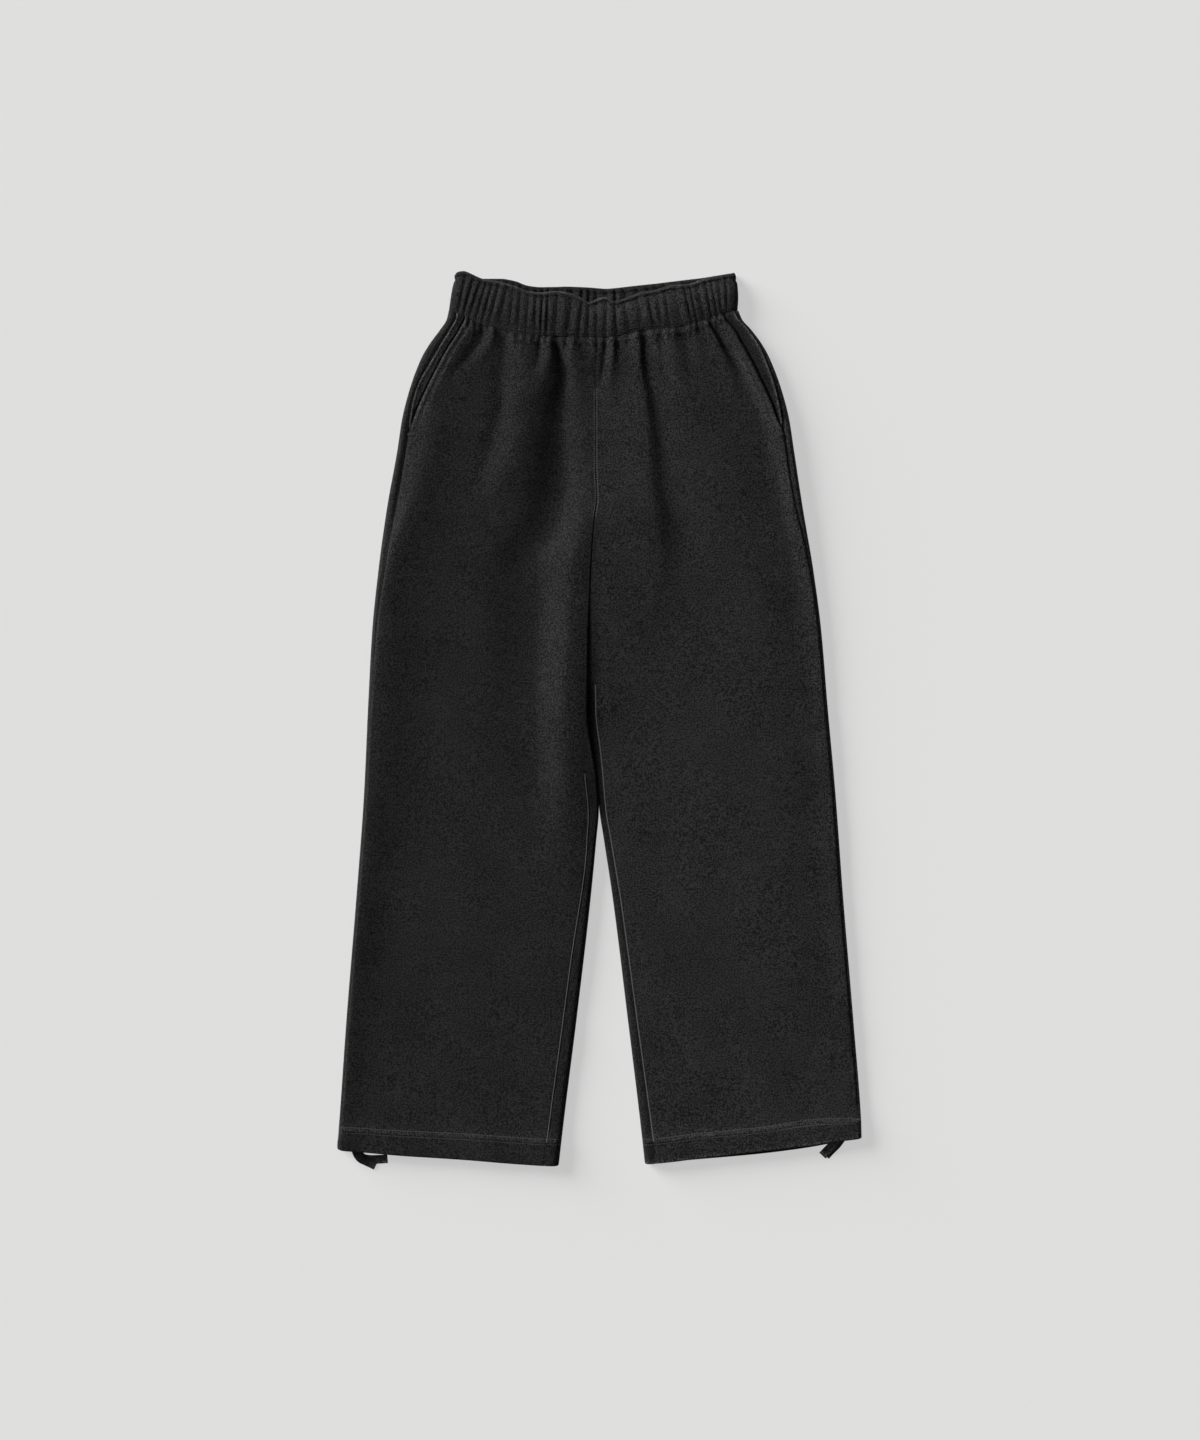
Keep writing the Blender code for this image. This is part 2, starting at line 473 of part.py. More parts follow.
def along(knots, steps=2):
    """Points on a smooth curve through the knots of a tape's middle line."""
    knots = np.array(knots, float)
    place = np.arange(len(knots))
    rows = {"place": place, "x": knots[:, 0], "y": knots[:, 1], "z": knots[:, 2]}
    at = np.linspace(0, len(knots) - 1, (len(knots) - 1) * steps + 1)
    return np.stack([smooth(rows, axis, at) for axis in "xyz"], axis=-1)


def hem_tape(knots):
    """The free end of a flat tape, along its middle line."""
    line = along(knots)
    way = np.gradient(line, axis=0)[:, :2]
    way /= np.linalg.norm(way, axis=1)[:, None]
    across = np.stack([-way[:, 1], way[:, 0], 0 * way[:, 0]], axis=-1) * TAPE_WIDTH / 2
    lift = np.array([0.0, 0.0, TAPE_THICKNESS / 2])
    outer = np.stack([line - across + lift, line + across + lift], axis=1)
    return outer, outer - 2 * lift, None


def material(name, color, roughness):
    made = bpy.data.materials.new(name)
    made.use_nodes = True
    shader = made.node_tree.nodes["Principled BSDF"]
    shader.inputs["Base Color"].default_value = color
    shader.inputs["Roughness"].default_value = roughness
    shader.inputs["Metallic"].default_value = 0.0
    return made


def piece(name, shape, color, roughness):
    """An object of its own: the closed wall between two grids of points, over the cells that are present."""
    outer, inner, present = shape
    rows, columns, _ = outer.shape
    if present is None:
        present = np.ones((rows - 1, columns - 1), bool)
    mesh = bmesh.new()
    points = [[mesh.verts.new(p * MM) for p in grid.reshape(-1, 3)] for grid in (outer, inner)]

    def corner(layer, place):
        return points[layer][place[0] * columns + place[1]]

    def filled(r, c):
        return 0 <= r < rows - 1 and 0 <= c < columns - 1 and present[r, c]

    for r, c in np.argwhere(present):
        ring = ((r, c), (r, c + 1), (r + 1, c + 1), (r + 1, c))
        mesh.faces.new([corner(0, place) for place in ring])
        mesh.faces.new([corner(1, place) for place in reversed(ring)])
        beyond = ((r - 1, c), (r, c + 1), (r + 1, c), (r, c - 1))
        for k, neighbour in enumerate(beyond):
            if not filled(*neighbour):
                a, b = ring[k], ring[(k + 1) % 4]
                mesh.faces.new([corner(0, b), corner(0, a), corner(1, a), corner(1, b)])
    loose = [v for v in mesh.verts if not v.link_faces]
    bmesh.ops.delete(mesh, geom=loose, context="VERTS")
    bmesh.ops.recalc_face_normals(mesh, faces=mesh.faces)
    data = bpy.data.meshes.new(name)
    mesh.to_mesh(data)
    mesh.free()
    data.shade_smooth()
    data.set_sharp_from_angle(angle=np.radians(SHARP_DEGREES))
    made = bpy.data.objects.new(name, data)
    data.materials.append(material(name, color, roughness))
    bpy.context.scene.collection.objects.link(made)


def build():
    for old in list(bpy.data.objects):
        bpy.data.objects.remove(old)
    for half in ("front", "back"):
        piece("waistband_" + half, waistband(half), BLACK_FLEECE, FLEECE_ROUGHNESS)
    for side in SIDE_SIGN:
        piece("front_" + side, front_panel(side), BLACK_FLEECE, FLEECE_ROUGHNESS)
        piece("back_" + side, back_panel(side), BLACK_FLEECE, FLEECE_ROUGHNESS)
        piece("pocket_facing_" + side, pocket_facing(side), BLACK_FLEECE, FLEECE_ROUGHNESS)
    for name, knots in TAPES.items():
        piece(name, hem_tape(knots), BLACK_TAPE, TAPE_ROUGHNESS)


build()
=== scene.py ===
"""Fleece trousers lying flat on their back, front up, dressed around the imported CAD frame.

Tables and sizes are in millimetres, with the waist at +Y and the floor at z = 0. "Right" and "left" are the
wearer's, so the right leg is on the -X side. MM turns millimetres to metres.
"""

import math

import bpy
import bmesh
import numpy as np
from mathutils.bvhtree import BVHTree
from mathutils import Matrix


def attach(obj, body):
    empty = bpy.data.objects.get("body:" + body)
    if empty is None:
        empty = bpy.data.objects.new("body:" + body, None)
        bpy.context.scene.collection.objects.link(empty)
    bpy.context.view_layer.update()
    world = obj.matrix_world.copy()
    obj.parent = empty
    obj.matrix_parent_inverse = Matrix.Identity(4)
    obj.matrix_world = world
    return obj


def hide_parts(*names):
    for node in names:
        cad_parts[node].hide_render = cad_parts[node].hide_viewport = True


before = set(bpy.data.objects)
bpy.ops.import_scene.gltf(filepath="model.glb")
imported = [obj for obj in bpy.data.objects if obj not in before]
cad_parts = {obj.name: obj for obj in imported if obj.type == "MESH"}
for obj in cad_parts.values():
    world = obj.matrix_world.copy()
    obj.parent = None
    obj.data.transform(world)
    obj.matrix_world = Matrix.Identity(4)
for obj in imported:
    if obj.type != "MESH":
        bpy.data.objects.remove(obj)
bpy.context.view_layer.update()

MM = 0.001
SIDE_SIGN = {"right": -1.0, "left": 1.0}
SEAM_GAP = 0.3
WAIST_GAP = 0.06
CROTCH_Y = 218.0
PARTING_Y = -92.0
MEETING = 0.12


def table(names, rows):
    """A table's columns by their names; the first column is the one that it is read by."""
    return dict(zip(names.split(), np.array(rows, float).T))


# ---------------------------------------------------------------- the garment's shape

OUTLINE = table("y right left", (
    (-496, -288.4, 289), (-466, -288.1, 288.6), (-461, -287.4, 287.8), (-442, -286, 287.2),
    (-332, -278.3, 278.8), (-200, -267.6, 267.8), (-84, -259, 259.2), (14, -254.4, 250.4),
    (97, -249.8, 243.5), (163, -243, 234.8), (229, -234, 223.6), (295, -222.2, 213.5), (328, -217.2, 208.4),
    (361, -208.8, 199.8), (394, -196.6, 187.4), (410, -187.5, 178.8), (427, -175, 166.2),
    (438, -168, 156.4), (450, -165.3, 151.4),
))
INNER = table("y right left", (
    (-496, -45.4, 50.4), (-442, -39.2, 44.4), (-332, -25.4, 31), (-200, -10, 14.6), (-134, -3.6, 4.7),
    (-99, -0.7, -0.6), (-68, -3, -3), (9, -13.4, -13.4), (77, -12.7, -12.7), (161, -9.6, -9.6),
    (218, -5.8, -5.8), (240, -3, -3), (278, -4.4, -4.4), (363, -4.4, -4.4), (425, -2, -2),
))
INSEAM = table("y right left", (
    (-496, 15.8, 12.6), (-440, 15, 11.4), (-265, 13.2, 9), (-156, 9, 7.6), (-68, 12, 6.6), (-20, 6, 9),
    (40, 2.5, 8), (90, 2.5, 2.5), (218, 2.5, 2.5),
))
SIDE_SEAM = table("y back_right front_right back_left front_left", (
    (-496, 2.4, 2.7, 2.4, 2.7), (-120, 2.4, 2.7, 2.4, 2.7), (-31, 2.4, 2.7, 2.4, 2.7),
    (40, 3.8, 4.1, 2.6, 2.9), (118, 5.6, 5.9, 3, 3.3), (160, 7.6, 7.9, 3.7, 4), (194, 8.8, 9.1, 4.8, 5.1),
    (233, 10.4, 10.7, 7.8, 8.1), (270, 10.2, 10.5, 8.8, 9.1), (295, 9.8, 10.1, 8.4, 8.7),
    (309, 10, 10.4, 8.4, 8.8), (317, 9.8, 11.6, 8.4, 10.8), (328, 8.8, 13.2, 7.6, 13.9),
    (341, 8.1, 15.5, 6.6, 15.4), (357, 7.7, 18.2, 5.6, 17.6), (372, 8.8, 20.7, 5, 20.2),
    (387, 12, 22.7, 4.6, 21.4), (400, 13.4, 23.6, 4.2, 22.4), (412, 13.2, 23.7, 3.5, 22.5),
    (420, 12.3, 23.1, 3, 20.6), (429, 10.8, 21.5, 2.8, 19.4), (438, 9.9, 20.4, 3.2, 19.2),
    (450, 8.6, 19.2, 4.5, 19),
))
# How far in from each edge the top rounds off, and the height of the shoulder that it falls to.
ROLL = table("y outer_right shoulder_right outer_left shoulder_left", (
    (-496, 5, 6.8, 3, 8), (-464, 5, 6.8, 3, 8), (-440, 4.4, 5.6, 2.4, 7), (0, 4.4, 5.4, 2.8, 6.6),
    (120, 4.2, 5.4, 4.2, 5.4), (300, 4.4, 5.6, 4.4, 5.6), (380, 4.4, 6.2, 4.4, 6.2),
    (450, 4.4, 6.6, 4.4, 6.6),
))
INNER_ROLL = table("y inner shoulder", (
    (-496, 6.5, 6.2), (-464, 6.5, 6.2), (-440, 7, 4.6), (-200, 5.4, 5.4), (-110, 2.8, 7.4), (-40, 1.7, 9.2),
    (60, 1.4, 10.2), (150, 1.2, 10.8), (200, 1.1, 11), (218, 1, 11.2),
))
FOOT_ROLL = table("y outer inner", ((-496, 4.5, 4.5), (150, 4.5, 4.5), (200, 4.5, 2.2), (218, 4.5, 0.7)))
FOOT_HEIGHT = 4.0
LAY = table("y height cloth", (
    (-496, 12, 4.2), (-466, 12, 4.2), (-456, 10.2, 2.8), (-440, 9.2, 2.6), (-300, 9.6, 2.6),
    (-100, 10.4, 2.6), (20, 11.4, 2.6), (130, 12.4, 2.6), (218, 12.8, 2.6), (300, 12.6, 2.6),
    (360, 12.6, 2.8), (400, 12.8, 3), (450, 13, 3.2),
))
LEAST_GAP = 0.5
TROUGH_SOFTNESS = 0.6
FOLD_FADE = 7.0
RELIEF = 0.75

HEM = table("x front back stitch", (
    (-288, -473.6, -473.6, 22.6), (-280, -474.8, -474.8, 23.2), (-261, -476.6, -476.7, 23.8),
    (-234, -479.1, -479.3, 24.2), (-148, -484.9, -485.3, 25.8), (-44, -491.8, -491.8, 26.8),
    (0, -491.6, -491.6, 26), (50, -489.9, -489.9, 24.6), (110, -483.4, -485.1, 25),
    (173, -476, -479.5, 23.6), (228, -469.6, -472.5, 25.4), (262, -464.8, -466.2, 22.8),
    (280, -462.6, -462.6, 20.6), (288, -461.4, -461.4, 19.6),
))
WAIST = table("x front_seam back_seam front_top back_top", (
    (-166, 448, 448, 486, 487), (-158, 445, 445.8, 488.5, 489.8), (-151, 442, 443.6, 490.3, 491.8),
    (-127, 431, 436.6, 481.8, 483.2), (-109, 426.5, 432.2, 478.8, 483.2), (-93, 422, 429.4, 474.3, 480.6),
    (-79, 420, 427.4, 469, 475.6), (-65, 419.3, 426.2, 467.2, 474), (-49, 418.8, 425.2, 468.8, 474.2),
    (-37, 418.2, 424.7, 467.6, 474.6), (-20, 418, 424.3, 461.2, 474), (-11, 417.8, 424.1, 456.4, 473.6),
    (-2, 417.6, 424, 460.6, 472.8), (7, 417.8, 424.1, 462.2, 472.2), (16, 418.4, 424.4, 457.9, 472.8),
    (28, 421, 425, 460.8, 474.2), (44, 424.8, 426.2, 466.8, 476), (61, 426.6, 428, 470, 477.8),
    (79, 428.4, 430.4, 475.2, 480), (99, 431.6, 434.2, 476.8, 482.4), (111, 435.4, 437.2, 481.2, 483.8),
    (130, 443, 443, 485.4, 486.8), (152, 447, 447, 489, 490.4),
))
BAND_ENDS = table("up right left", (
    (0, -165.4, 151.3), (0.35, -163.4, 152.2), (0.72, -160.4, 151.2), (0.80, -158.8, 149.6),
    (0.90, -159.4, 149.8), (1, -157, 148),
))
# The waistband's profile from its seam to its top edge: the front's height, the share of the pleats' swell
# that shows, and the heights of the undersides and of the back.
BAND_PROFILE = table("up top pleat under back_top back_under", (
    (0, 12.5, 0.6, 7.2, 5.2, 0.4), (0.03, 12.9, 0.6, 7.2, 6, 0.1), (0.08, 13.4, 0.7, 7.2, 6.4, 0),
    (0.14, 13.9, 0.85, 7.2, 6.5, 0), (0.30, 14.6, 1.05, 7.2, 6.6, 0), (0.45, 14.9, 1.2, 7.2, 6.6, 0),
    (0.62, 14.6, 1.2, 7.2, 6.6, 0), (0.77, 13.5, 1, 7.2, 6.4, 0), (0.84, 13, 0.8, 7.2, 5.9, 0),
    (0.87, 12.8, 0.7, 7.2, 5.8, 0), (0.92, 13.5, 0.5, 7.3, 6.4, 0.1), (0.96, 13, 0.4, 7.8, 6.2, 0.4),
    (1, 11.4, 0.3, 8.8, 5.8, 1),
))
BAND_ROLL = 5.0
FRONT_BAND_EDGE = 8.6
BACK_BAND_EDGE = 2.6
BACK_BAND_SLOPE = 0.8
PLEATS = table("top seam height", (
    (-149.5, -158, 1.1), (-141, -152, 1.5), (-132.5, -146.5, 1.5), (-126, -139.5, 1.1),
    (-119.5, -132.5, 1.2), (-113, -125, 1.2), (-104.5, -117.5, 1.8), (-97, -104, 0.8), (-90, -94.5, 1.3),
    (-81.5, -85.5, 1), (-73, -75.5, 1.4), (-65.5, -67.5, 1.5), (-59, -61.5, 1.8), (-52, -54.5, 1.5),
    (-37.5, -42, 1.8), (-22.5, -29, 1.6), (-15, -17.5, 1.5), (-7.5, -8, 1.2), (1.5, 2, 1.1),
    (13.5, 12.5, 1.8), (20.5, 27, 1.8), (33.5, 41, 1.3), (47, 56, 1.8), (57, 64.5, 1.1), (67, 73.5, 1.2),
    (76, 82, 0.9), (88, 98, 1.8), (95.5, 104.5, 1.2), (101.5, 110.5, 1.1), (111.5, 119.5, 1.6),
    (118.5, 126, 1.1), (125.5, 131.5, 1), (135, 137, 1.3), (141.5, 143.4, 0.9),
))

# The folds and gathers of the front. Each runs through its knots from the waist down: y, x, the half-widths
# towards -X and +X, and the height, where a trough's height is negative.
FOLDS = {
    "outer_crest_right": (
        (421, -152, 12, 18, 1.6), (389, -164, 16, 30, 3), (350, -180, 18, 26, 3.6),
        (317, -184, 18, 26, 4.8), (284, -192, 16, 26, 5.2), (251, -201, 14, 26, 5.8),
        (218, -213, 12, 30, 6.8), (174, -228, 12, 35, 8), (130, -236, 12, 38, 7.6), (86, -241, 12, 36, 6.8),
        (20, -246, 12, 34, 6.2), (-46, -250, 12, 30, 5.8), (-112, -255, 12, 27, 5.6),
        (-200, -263, 12, 24, 5.2), (-310, -274, 12, 22, 5.2), (-400, -282, 12, 21, 4.6),
        (-440, -285, 12, 20, 3.6), (-480, -287, 12, 20, 3)),
    "bulge_right": (
        (425, -80, 12, 12, 2.4), (403, -84, 13, 14, 2.8), (372, -82, 15, 16, 3.8), (350, -86, 15, 26, 5.2),
        (317, -87, 16, 28, 5.2), (284, -97, 16, 28, 4.2), (251, -111, 17, 28, 2.4), (225, -125, 20, 30, 0)),
    "crotch_trough_right": (
        (430, -48, 3, 3, -3.2), (411, -46, 4, 3.6, -4.2), (403, -44, 4.6, 4.2, -4.6),
        (389, -40.5, 6, 5, -5.4), (372, -38, 8.5, 6, -6.4), (350, -41, 13, 9, -6.8),
        (317, -42, 18, 12, -6.8), (284, -42, 22, 14, -7.4), (251, -44, 28, 16, -8.8),
        (218, -52, 32, 18, -9.8), (196, -62, 34, 18, -10), (174, -75, 36, 19, -9.8),
        (130, -70, 40, 17, -9.2), (86, -70, 43, 17, -8), (20, -73, 42, 16, -6.6), (-46, -71, 34, 17, -4.2),
        (-90, -68, 28, 20, -2.2), (-130, -66, 26, 20, 0)),
    "inner_thigh_right": (
        (430, -31, 5, 8, 2.6), (411, -30, 5.5, 10, 3), (389, -27, 9, 11, 2.2), (350, -22, 10, 12, 1.2),
        (300, -14, 14, 34, 1.4), (251, -11, 20, 90, 3.8), (218, -15, 18, 60, 6.2), (196, -20, 18, 50, 7.6),
        (174, -29, 17, 60, 8.6), (130, -31, 17, 60, 9.4), (86, -33, 17, 56, 9.6), (20, -36, 17, 42, 9.6),
        (-46, -38, 18, 34, 7.8), (-112, -38, 20, 28, 5), (-200, -34, 24, 26, 1.8), (-280, -36, 24, 26, 0)),
    "ridge_beside_trough": (
        (430, -60, 5, 5, 3.4), (414, -57, 6, 5, 3.6), (400, -55, 7, 6, 3.4), (389, -57, 8, 7, 3.2),
        (372, -62, 11, 9, 2.4), (355, -68, 13, 10, 1), (335, -72, 14, 10, 0)),
    "middle_trough_right": (
        (430, -105, 3, 3.4, -2.6), (415, -105, 4, 4.6, -2.2), (403, -104, 7, 7, -2),
        (389, -107, 8, 8, -1.8), (372, -108, 9, 8, -2.6), (350, -107, 9, 8, -2.8), (317, -114, 10, 9, -2.2),
        (284, -124, 12, 10, -1.4), (251, -134, 14, 12, -0.8), (218, -145, 14, 14, 0)),
    "gather_right_1": ((430, -93, 4, 4, 2.2), (418, -95, 5, 5, 1.4), (400, -96, 6, 6, 0)),
    "gather_right_2": (
        (432, -116, 5, 5, 3), (418, -118, 6, 6, 2.6), (400, -125, 7, 7, 1.2), (386, -134, 8, 8, 0)),
    "slant_trough_right": (
        (438, -122, 6, 5, -3), (424, -127, 8, 5, -3.4), (411, -133, 9, 6, -3.2), (400, -141, 8, 7, -3),
        (390, -149, 7, 8, -2.2), (380, -157, 8, 8, -1.4), (366, -163, 8, 9, -0.6), (345, -168, 9, 9, 0)),
    "notch_right_1": (
        (430, -67, 2, 2, -3), (411, -66.4, 2.4, 2.4, -2.4), (396, -67, 3.6, 3.4, -1.4),
        (380, -69, 5, 5, 0)),
    "notch_right_2": ((430, -20, 2, 2.2, -3.0), (414, -20, 2.6, 2.6, -1.8), (396, -19, 4, 4, 0)),
    "notch_right_3": ((432, -37, 2.2, 2.6, -2.0), (410, -36.5, 2.4, 2.8, -1.7), (396, -37, 3, 3, 0)),
    "gather_right_3": ((430, -5, 6, 5, 1.8), (405, -5.5, 7, 5.5, 1.2), (376, -8, 7, 7, 0)),
    "centre_trough_left": (
        (432, 7, 2.2, 2.4, -2.6), (411, 6.8, 2.2, 2.4, -2.2), (402, 6.2, 2.4, 2.6, -2),
        (394, 5, 2.6, 2.8, -1.8), (376, 3, 3, 3.2, -1.4), (360, 1.2, 4, 4, 0)),
    "gather_left_1": (
        (430, 15.5, 4.4, 3.4, 2.2), (405, 15, 5, 3.8, 2.4), (386, 13.4, 6, 5, 2.2), (366, 11, 8, 8, 1.2),
        (335, 10, 9, 8, 0)),
    "notch_left_1": (
        (430, 20, 1.5, 4, -1.6), (411, 19.4, 1.5, 5, -1.4), (398, 18.6, 2, 5, -1), (384, 18, 3, 5, 0)),
    "long_ridge_left": (
        (430, 40.6, 9, 4, 2.6), (411, 43.2, 9, 4.2, 3), (400, 44, 9, 4.8, 3), (389, 44.4, 9, 6, 2.6),
        (372, 47, 11, 6.5, 2.4), (357, 50, 14, 7, 2.6), (317, 52, 34, 10, 3.6), (284, 53, 44, 12, 4.6),
        (251, 55, 48, 13, 5), (218, 61, 50, 14, 5.4), (174, 63, 46, 17, 4), (130, 56, 40, 18, 2.6),
        (86, 50, 34, 18, 1.4), (40, 48, 30, 16, 0)),
    "long_trough_left": (
        (432, 49, 2.2, 3.2, -1.8), (411, 49, 2.4, 3.6, -2), (400, 48.6, 2.6, 4.4, -2.2),
        (385, 50.4, 3.8, 6, -2.7), (361, 56, 5.4, 8, -2.6), (317, 65, 7, 11, -2.2), (284, 69, 9, 13, -1.7),
        (251, 73, 11, 18, -1.3), (218, 79, 12, 22, -0.6), (180, 84, 12, 20, 0)),
    "inner_fall_left": (
        (215, -8, 9, 10, 0), (174, -9, 9, 12, -1.6), (130, -12, 9, 14, -1.6), (86, -12, 9, 18, -1.8),
        (20, -12, 9, 20, -1.8), (-46, -6, 9, 18, -1.4), (-112, 2, 9, 20, -1.6), (-200, 18, 10, 22, -1.4),
        (-300, 32, 10, 20, 0)),
    "gather_left_2": (
        (436, 58, 3.5, 4, 2.4), (416, 60, 4, 5, 2.2), (398, 64, 5, 7, 1.4), (380, 66, 6, 6, 0)),
    "notch_left_2": ((438, 64.5, 2, 2.2, -1.8), (418, 65.5, 2.4, 2.4, -0.7), (406, 67, 4, 4, 0)),
    "thigh_ridge_left": (
        (434, 76, 6, 6, 2.4), (414, 79, 8, 9, 2.6), (389, 82, 10, 14, 2.6), (350, 88, 12, 18, 2.2),
        (317, 96, 14, 22, 1.8), (284, 108, 18, 28, 1.7), (251, 120, 22, 32, 1.6), (215, 130, 24, 32, 1),
        (170, 138, 28, 34, 0)),
    "notch_left_3": (
        (436, 90, 4, 5, -1), (416, 94, 6, 8, -1.4), (394, 98, 6, 6, -0.8), (372, 102, 7, 7, 0)),
    "gather_left_3": (
        (438, 98, 5, 5, 1.6), (416, 107, 6, 6, 0.8), (386, 112, 7, 7, 0.9), (350, 118, 9, 9, 0)),
    "notch_left_4": ((440, 105.5, 1.6, 2, -1.6), (430, 108.5, 1.6, 2, -2.0), (416, 111, 2.6, 2.6, 0)),
    "gather_left_4": (
        (438, 115, 5, 3.4, 1.8), (418, 126, 7, 3.4, 2.4), (398, 135, 8, 4, 1.4), (380, 140, 7, 6, 0)),
    "slant_trough_left": (
        (438, 118, 1.8, 2.4, -1.8), (430, 123.4, 2, 2.6, -2.6), (420, 130.4, 2, 3.2, -3.4),
        (405, 139, 3, 5, -4.2), (396, 145.5, 4, 6.4, -4.2), (385, 152, 6, 5, -3.6), (372, 157, 9, 6, -3.4),
        (357, 162, 14, 8, -3.2), (340, 170, 26, 9, -3.2), (317, 178, 34, 10, -4.8),
        (284, 186, 36, 11, -5.8), (251, 194, 34, 11, -5.4), (218, 200, 34, 12, -4.4),
        (174, 210, 34, 12, -3.8), (130, 220, 32, 11, -2.8), (86, 227, 28, 10, -1.8), (20, 232, 30, 9, -1.6),
        (-46, 236, 28, 9, -1.3), (-200, 246, 28, 8, -1.5), (-310, 256, 24, 8, -0.8), (-400, 262, 24, 8, 0)),
    "outer_crest_left": (
        (436, 138, 5, 7, 2), (414, 150, 6, 9, 2.4), (400, 157, 6, 9, 2.6), (386, 166, 7, 12, 2.8),
        (350, 185, 9, 14, 3.6), (317, 198, 11, 14, 3.8), (284, 206, 11, 13, 3.6), (251, 212, 10, 12, 3),
        (218, 217, 9, 12, 2.6), (174, 225, 9, 12, 2), (130, 232, 9, 12, 1.2), (60, 238, 9, 12, 0)),
    "leg_swell_left": (
        (190, 140, 40, 30, 0), (130, 160, 45, 36, 1.2), (86, 170, 50, 34, 1), (20, 170, 60, 38, 1.2),
        (-46, 178, 60, 34, 1), (-112, 176, 60, 36, 1.1), (-200, 200, 60, 30, 1.1), (-310, 212, 60, 30, 0.9),
        (-400, 220, 60, 30, 0.5), (-440, 224, 60, 30, 0)),
}
FOLD_KNOTS = {name: table("y x left right height", knots[::-1]) for name, knots in FOLDS.items()}
LEGS_PART_OVER = 420.0
# How many of its widths away a fold is still felt.
FOLD_REACH = 3
# How deep a trough still is at the waist seam, and how far below it is whole.
TROUGH_AT_SEAM = 0.3
TROUGH_FADE = 13.0

HEM_BENDS_FROM = -400.0
HEM_BENDS_OVER = 86.0
WAIST_BENDS_FROM = 290.0
WAIST_BENDS_OVER = 126.0
WAIST_BEND_POWER = 1.5
BENDING_ROUNDS = 6


def smooth(columns, name, at):
    """A table's column, read along its first column by a smooth curve that doesn't overshoot its rows."""
    keys = columns[next(iter(columns))]
    values = columns[name]
    steps = np.diff(keys)
    slopes = np.diff(values) / steps
    both = slopes[:-1] * slopes[1:]
    total = np.where(both > 0, slopes[:-1] + slopes[1:], 1.0)
    middle = np.where(both > 0, 2 * both / total, 0.0)
    tangents = np.concatenate([slopes[:1], middle, slopes[-1:]])
    place = np.clip(np.asarray(at, float), keys[0], keys[-1])
    i = np.clip(np.searchsorted(keys, place, "right") - 1, 0, len(steps) - 1)
    t = (place - keys[i]) / steps[i]
    rise = values[i] + (values[i + 1] - values[i]) * t * t * (3 - 2 * t)
    bend = (tangents[i] - slopes[i]) * (1 - t) - (tangents[i + 1] - slopes[i]) * t
    return rise + steps[i] * t * (1 - t) * (slopes[i] * (1 - 2 * t) + bend)


def folds(x, y, side):
    """The height that the folds and gathers add to the front at (x, y). Below the crotch, a fold along one
    leg's inner edge reaches the other leg less and less, and is gone there LEGS_PART_OVER below the crotch."""
    height = np.zeros(np.shape(x))
    for name, path in FOLD_KNOTS.items():
        near = y > path["y"][0] - FOLD_REACH * FOLD_FADE
        near &= y < path["y"][-1] + FOLD_REACH * FOLD_FADE
        near &= x > path["x"].min() - FOLD_REACH * path["left"].max()
        near &= x < path["x"].max() + FOLD_REACH * path["right"].max()
        if not near.any():
            continue
        at_x, at_y = x[near], y[near]
        past = np.maximum(path["y"][0] - at_y, 0) + np.maximum(at_y - path["y"][-1], 0)
        beside = at_x - smooth(path, "x", at_y)
        beside = beside / np.where(beside < 0, smooth(path, "left", at_y), smooth(path, "right", at_y))
        added = smooth(path, "height", at_y) * np.exp(-((past / FOLD_FADE) ** 2) - beside**2)
        if "trough" in name or "notch" in name:
            added *= grown(TROUGH_AT_SEAM, below_waist(at_x, at_y) / TROUGH_FADE)
        if name.startswith("inner_") and not name.endswith(side):
            added *= ease((at_y - CROTCH_Y) / LEGS_PART_OVER + 1)
        height[near] += added
    return height * RELIEF


RIPPLES = np.random.default_rng(7).uniform(0, 1, (14, 3))
RIPPLE_HEIGHT = 0.11
RIPPLE_SHORTEST = 26.0
RIPPLE_LENGTHS = 70.0
RIPPLE_PHASES = 40.0


def ripple(x, y):
    """The cloth's own gentle unevenness."""
    height = np.zeros(np.broadcast(x, y).shape)
    for turn, length, phase in RIPPLES:
        wave = 2 * math.pi / (RIPPLE_SHORTEST + RIPPLE_LENGTHS * length)
        run = x * math.cos(math.pi * turn) + y * math.sin(math.pi * turn)
        height += np.sin(run * wave + RIPPLE_PHASES * phase)
    return height * RIPPLE_HEIGHT


def rounded(distance, reach):
    """1 away from an edge, falling to 0 at it, as a quarter of an ellipse does."""
    away = np.clip(distance / reach, 0, 1)
    return np.sqrt(np.maximum(1 - (1 - away) ** 2, 0))


def bump(distance, width):
    """1 at a place, fading to 0 over the width on both sides of it."""
    return np.exp(-((distance / width) ** 2))


def line(distance, height, place, width):
    """A raised or sunk line at a place: its height there, fading over the width."""
    return height * bump(distance - place, width)


def fall(distance, drop, reach):
    """How far an edge falls: all of the drop at the edge, and nothing from the reach on."""
    return drop * (1 - rounded(distance, reach))


def ease(t):
    """0 to 1 as t goes from 0 to 1, starting and ending gently."""
    t = np.clip(t, 0, 1)
    return t * t * (3 - 2 * t)


def grown(share, t):
    """From a share to the whole as t goes from 0 to 1."""
    return share + (1 - share) * ease(t)


def above(y, start, over):
    """0 up to the start, then growing to 1 over the given distance."""
    return ease((y - start) / over)


def below_waist(x, y):
    return smooth(WAIST, "front_seam", x) - y


def unit(vectors):
    return vectors / np.maximum(np.linalg.norm(vectors, axis=-1, keepdims=True), 1e-9)


def run_of(path):
    """How far along a path of points each of them is."""
    return np.concatenate([[0], np.cumsum(np.linalg.norm(np.diff(path, axis=0), axis=1))])


# The closed side seam's dip and its widths on its two sides, and its dip where the pocket opens it.
SIDE_SEAM_DIP = (1.3, 2.8, 1.4)
SIDE_SEAM_OPEN_DIP = 0.75
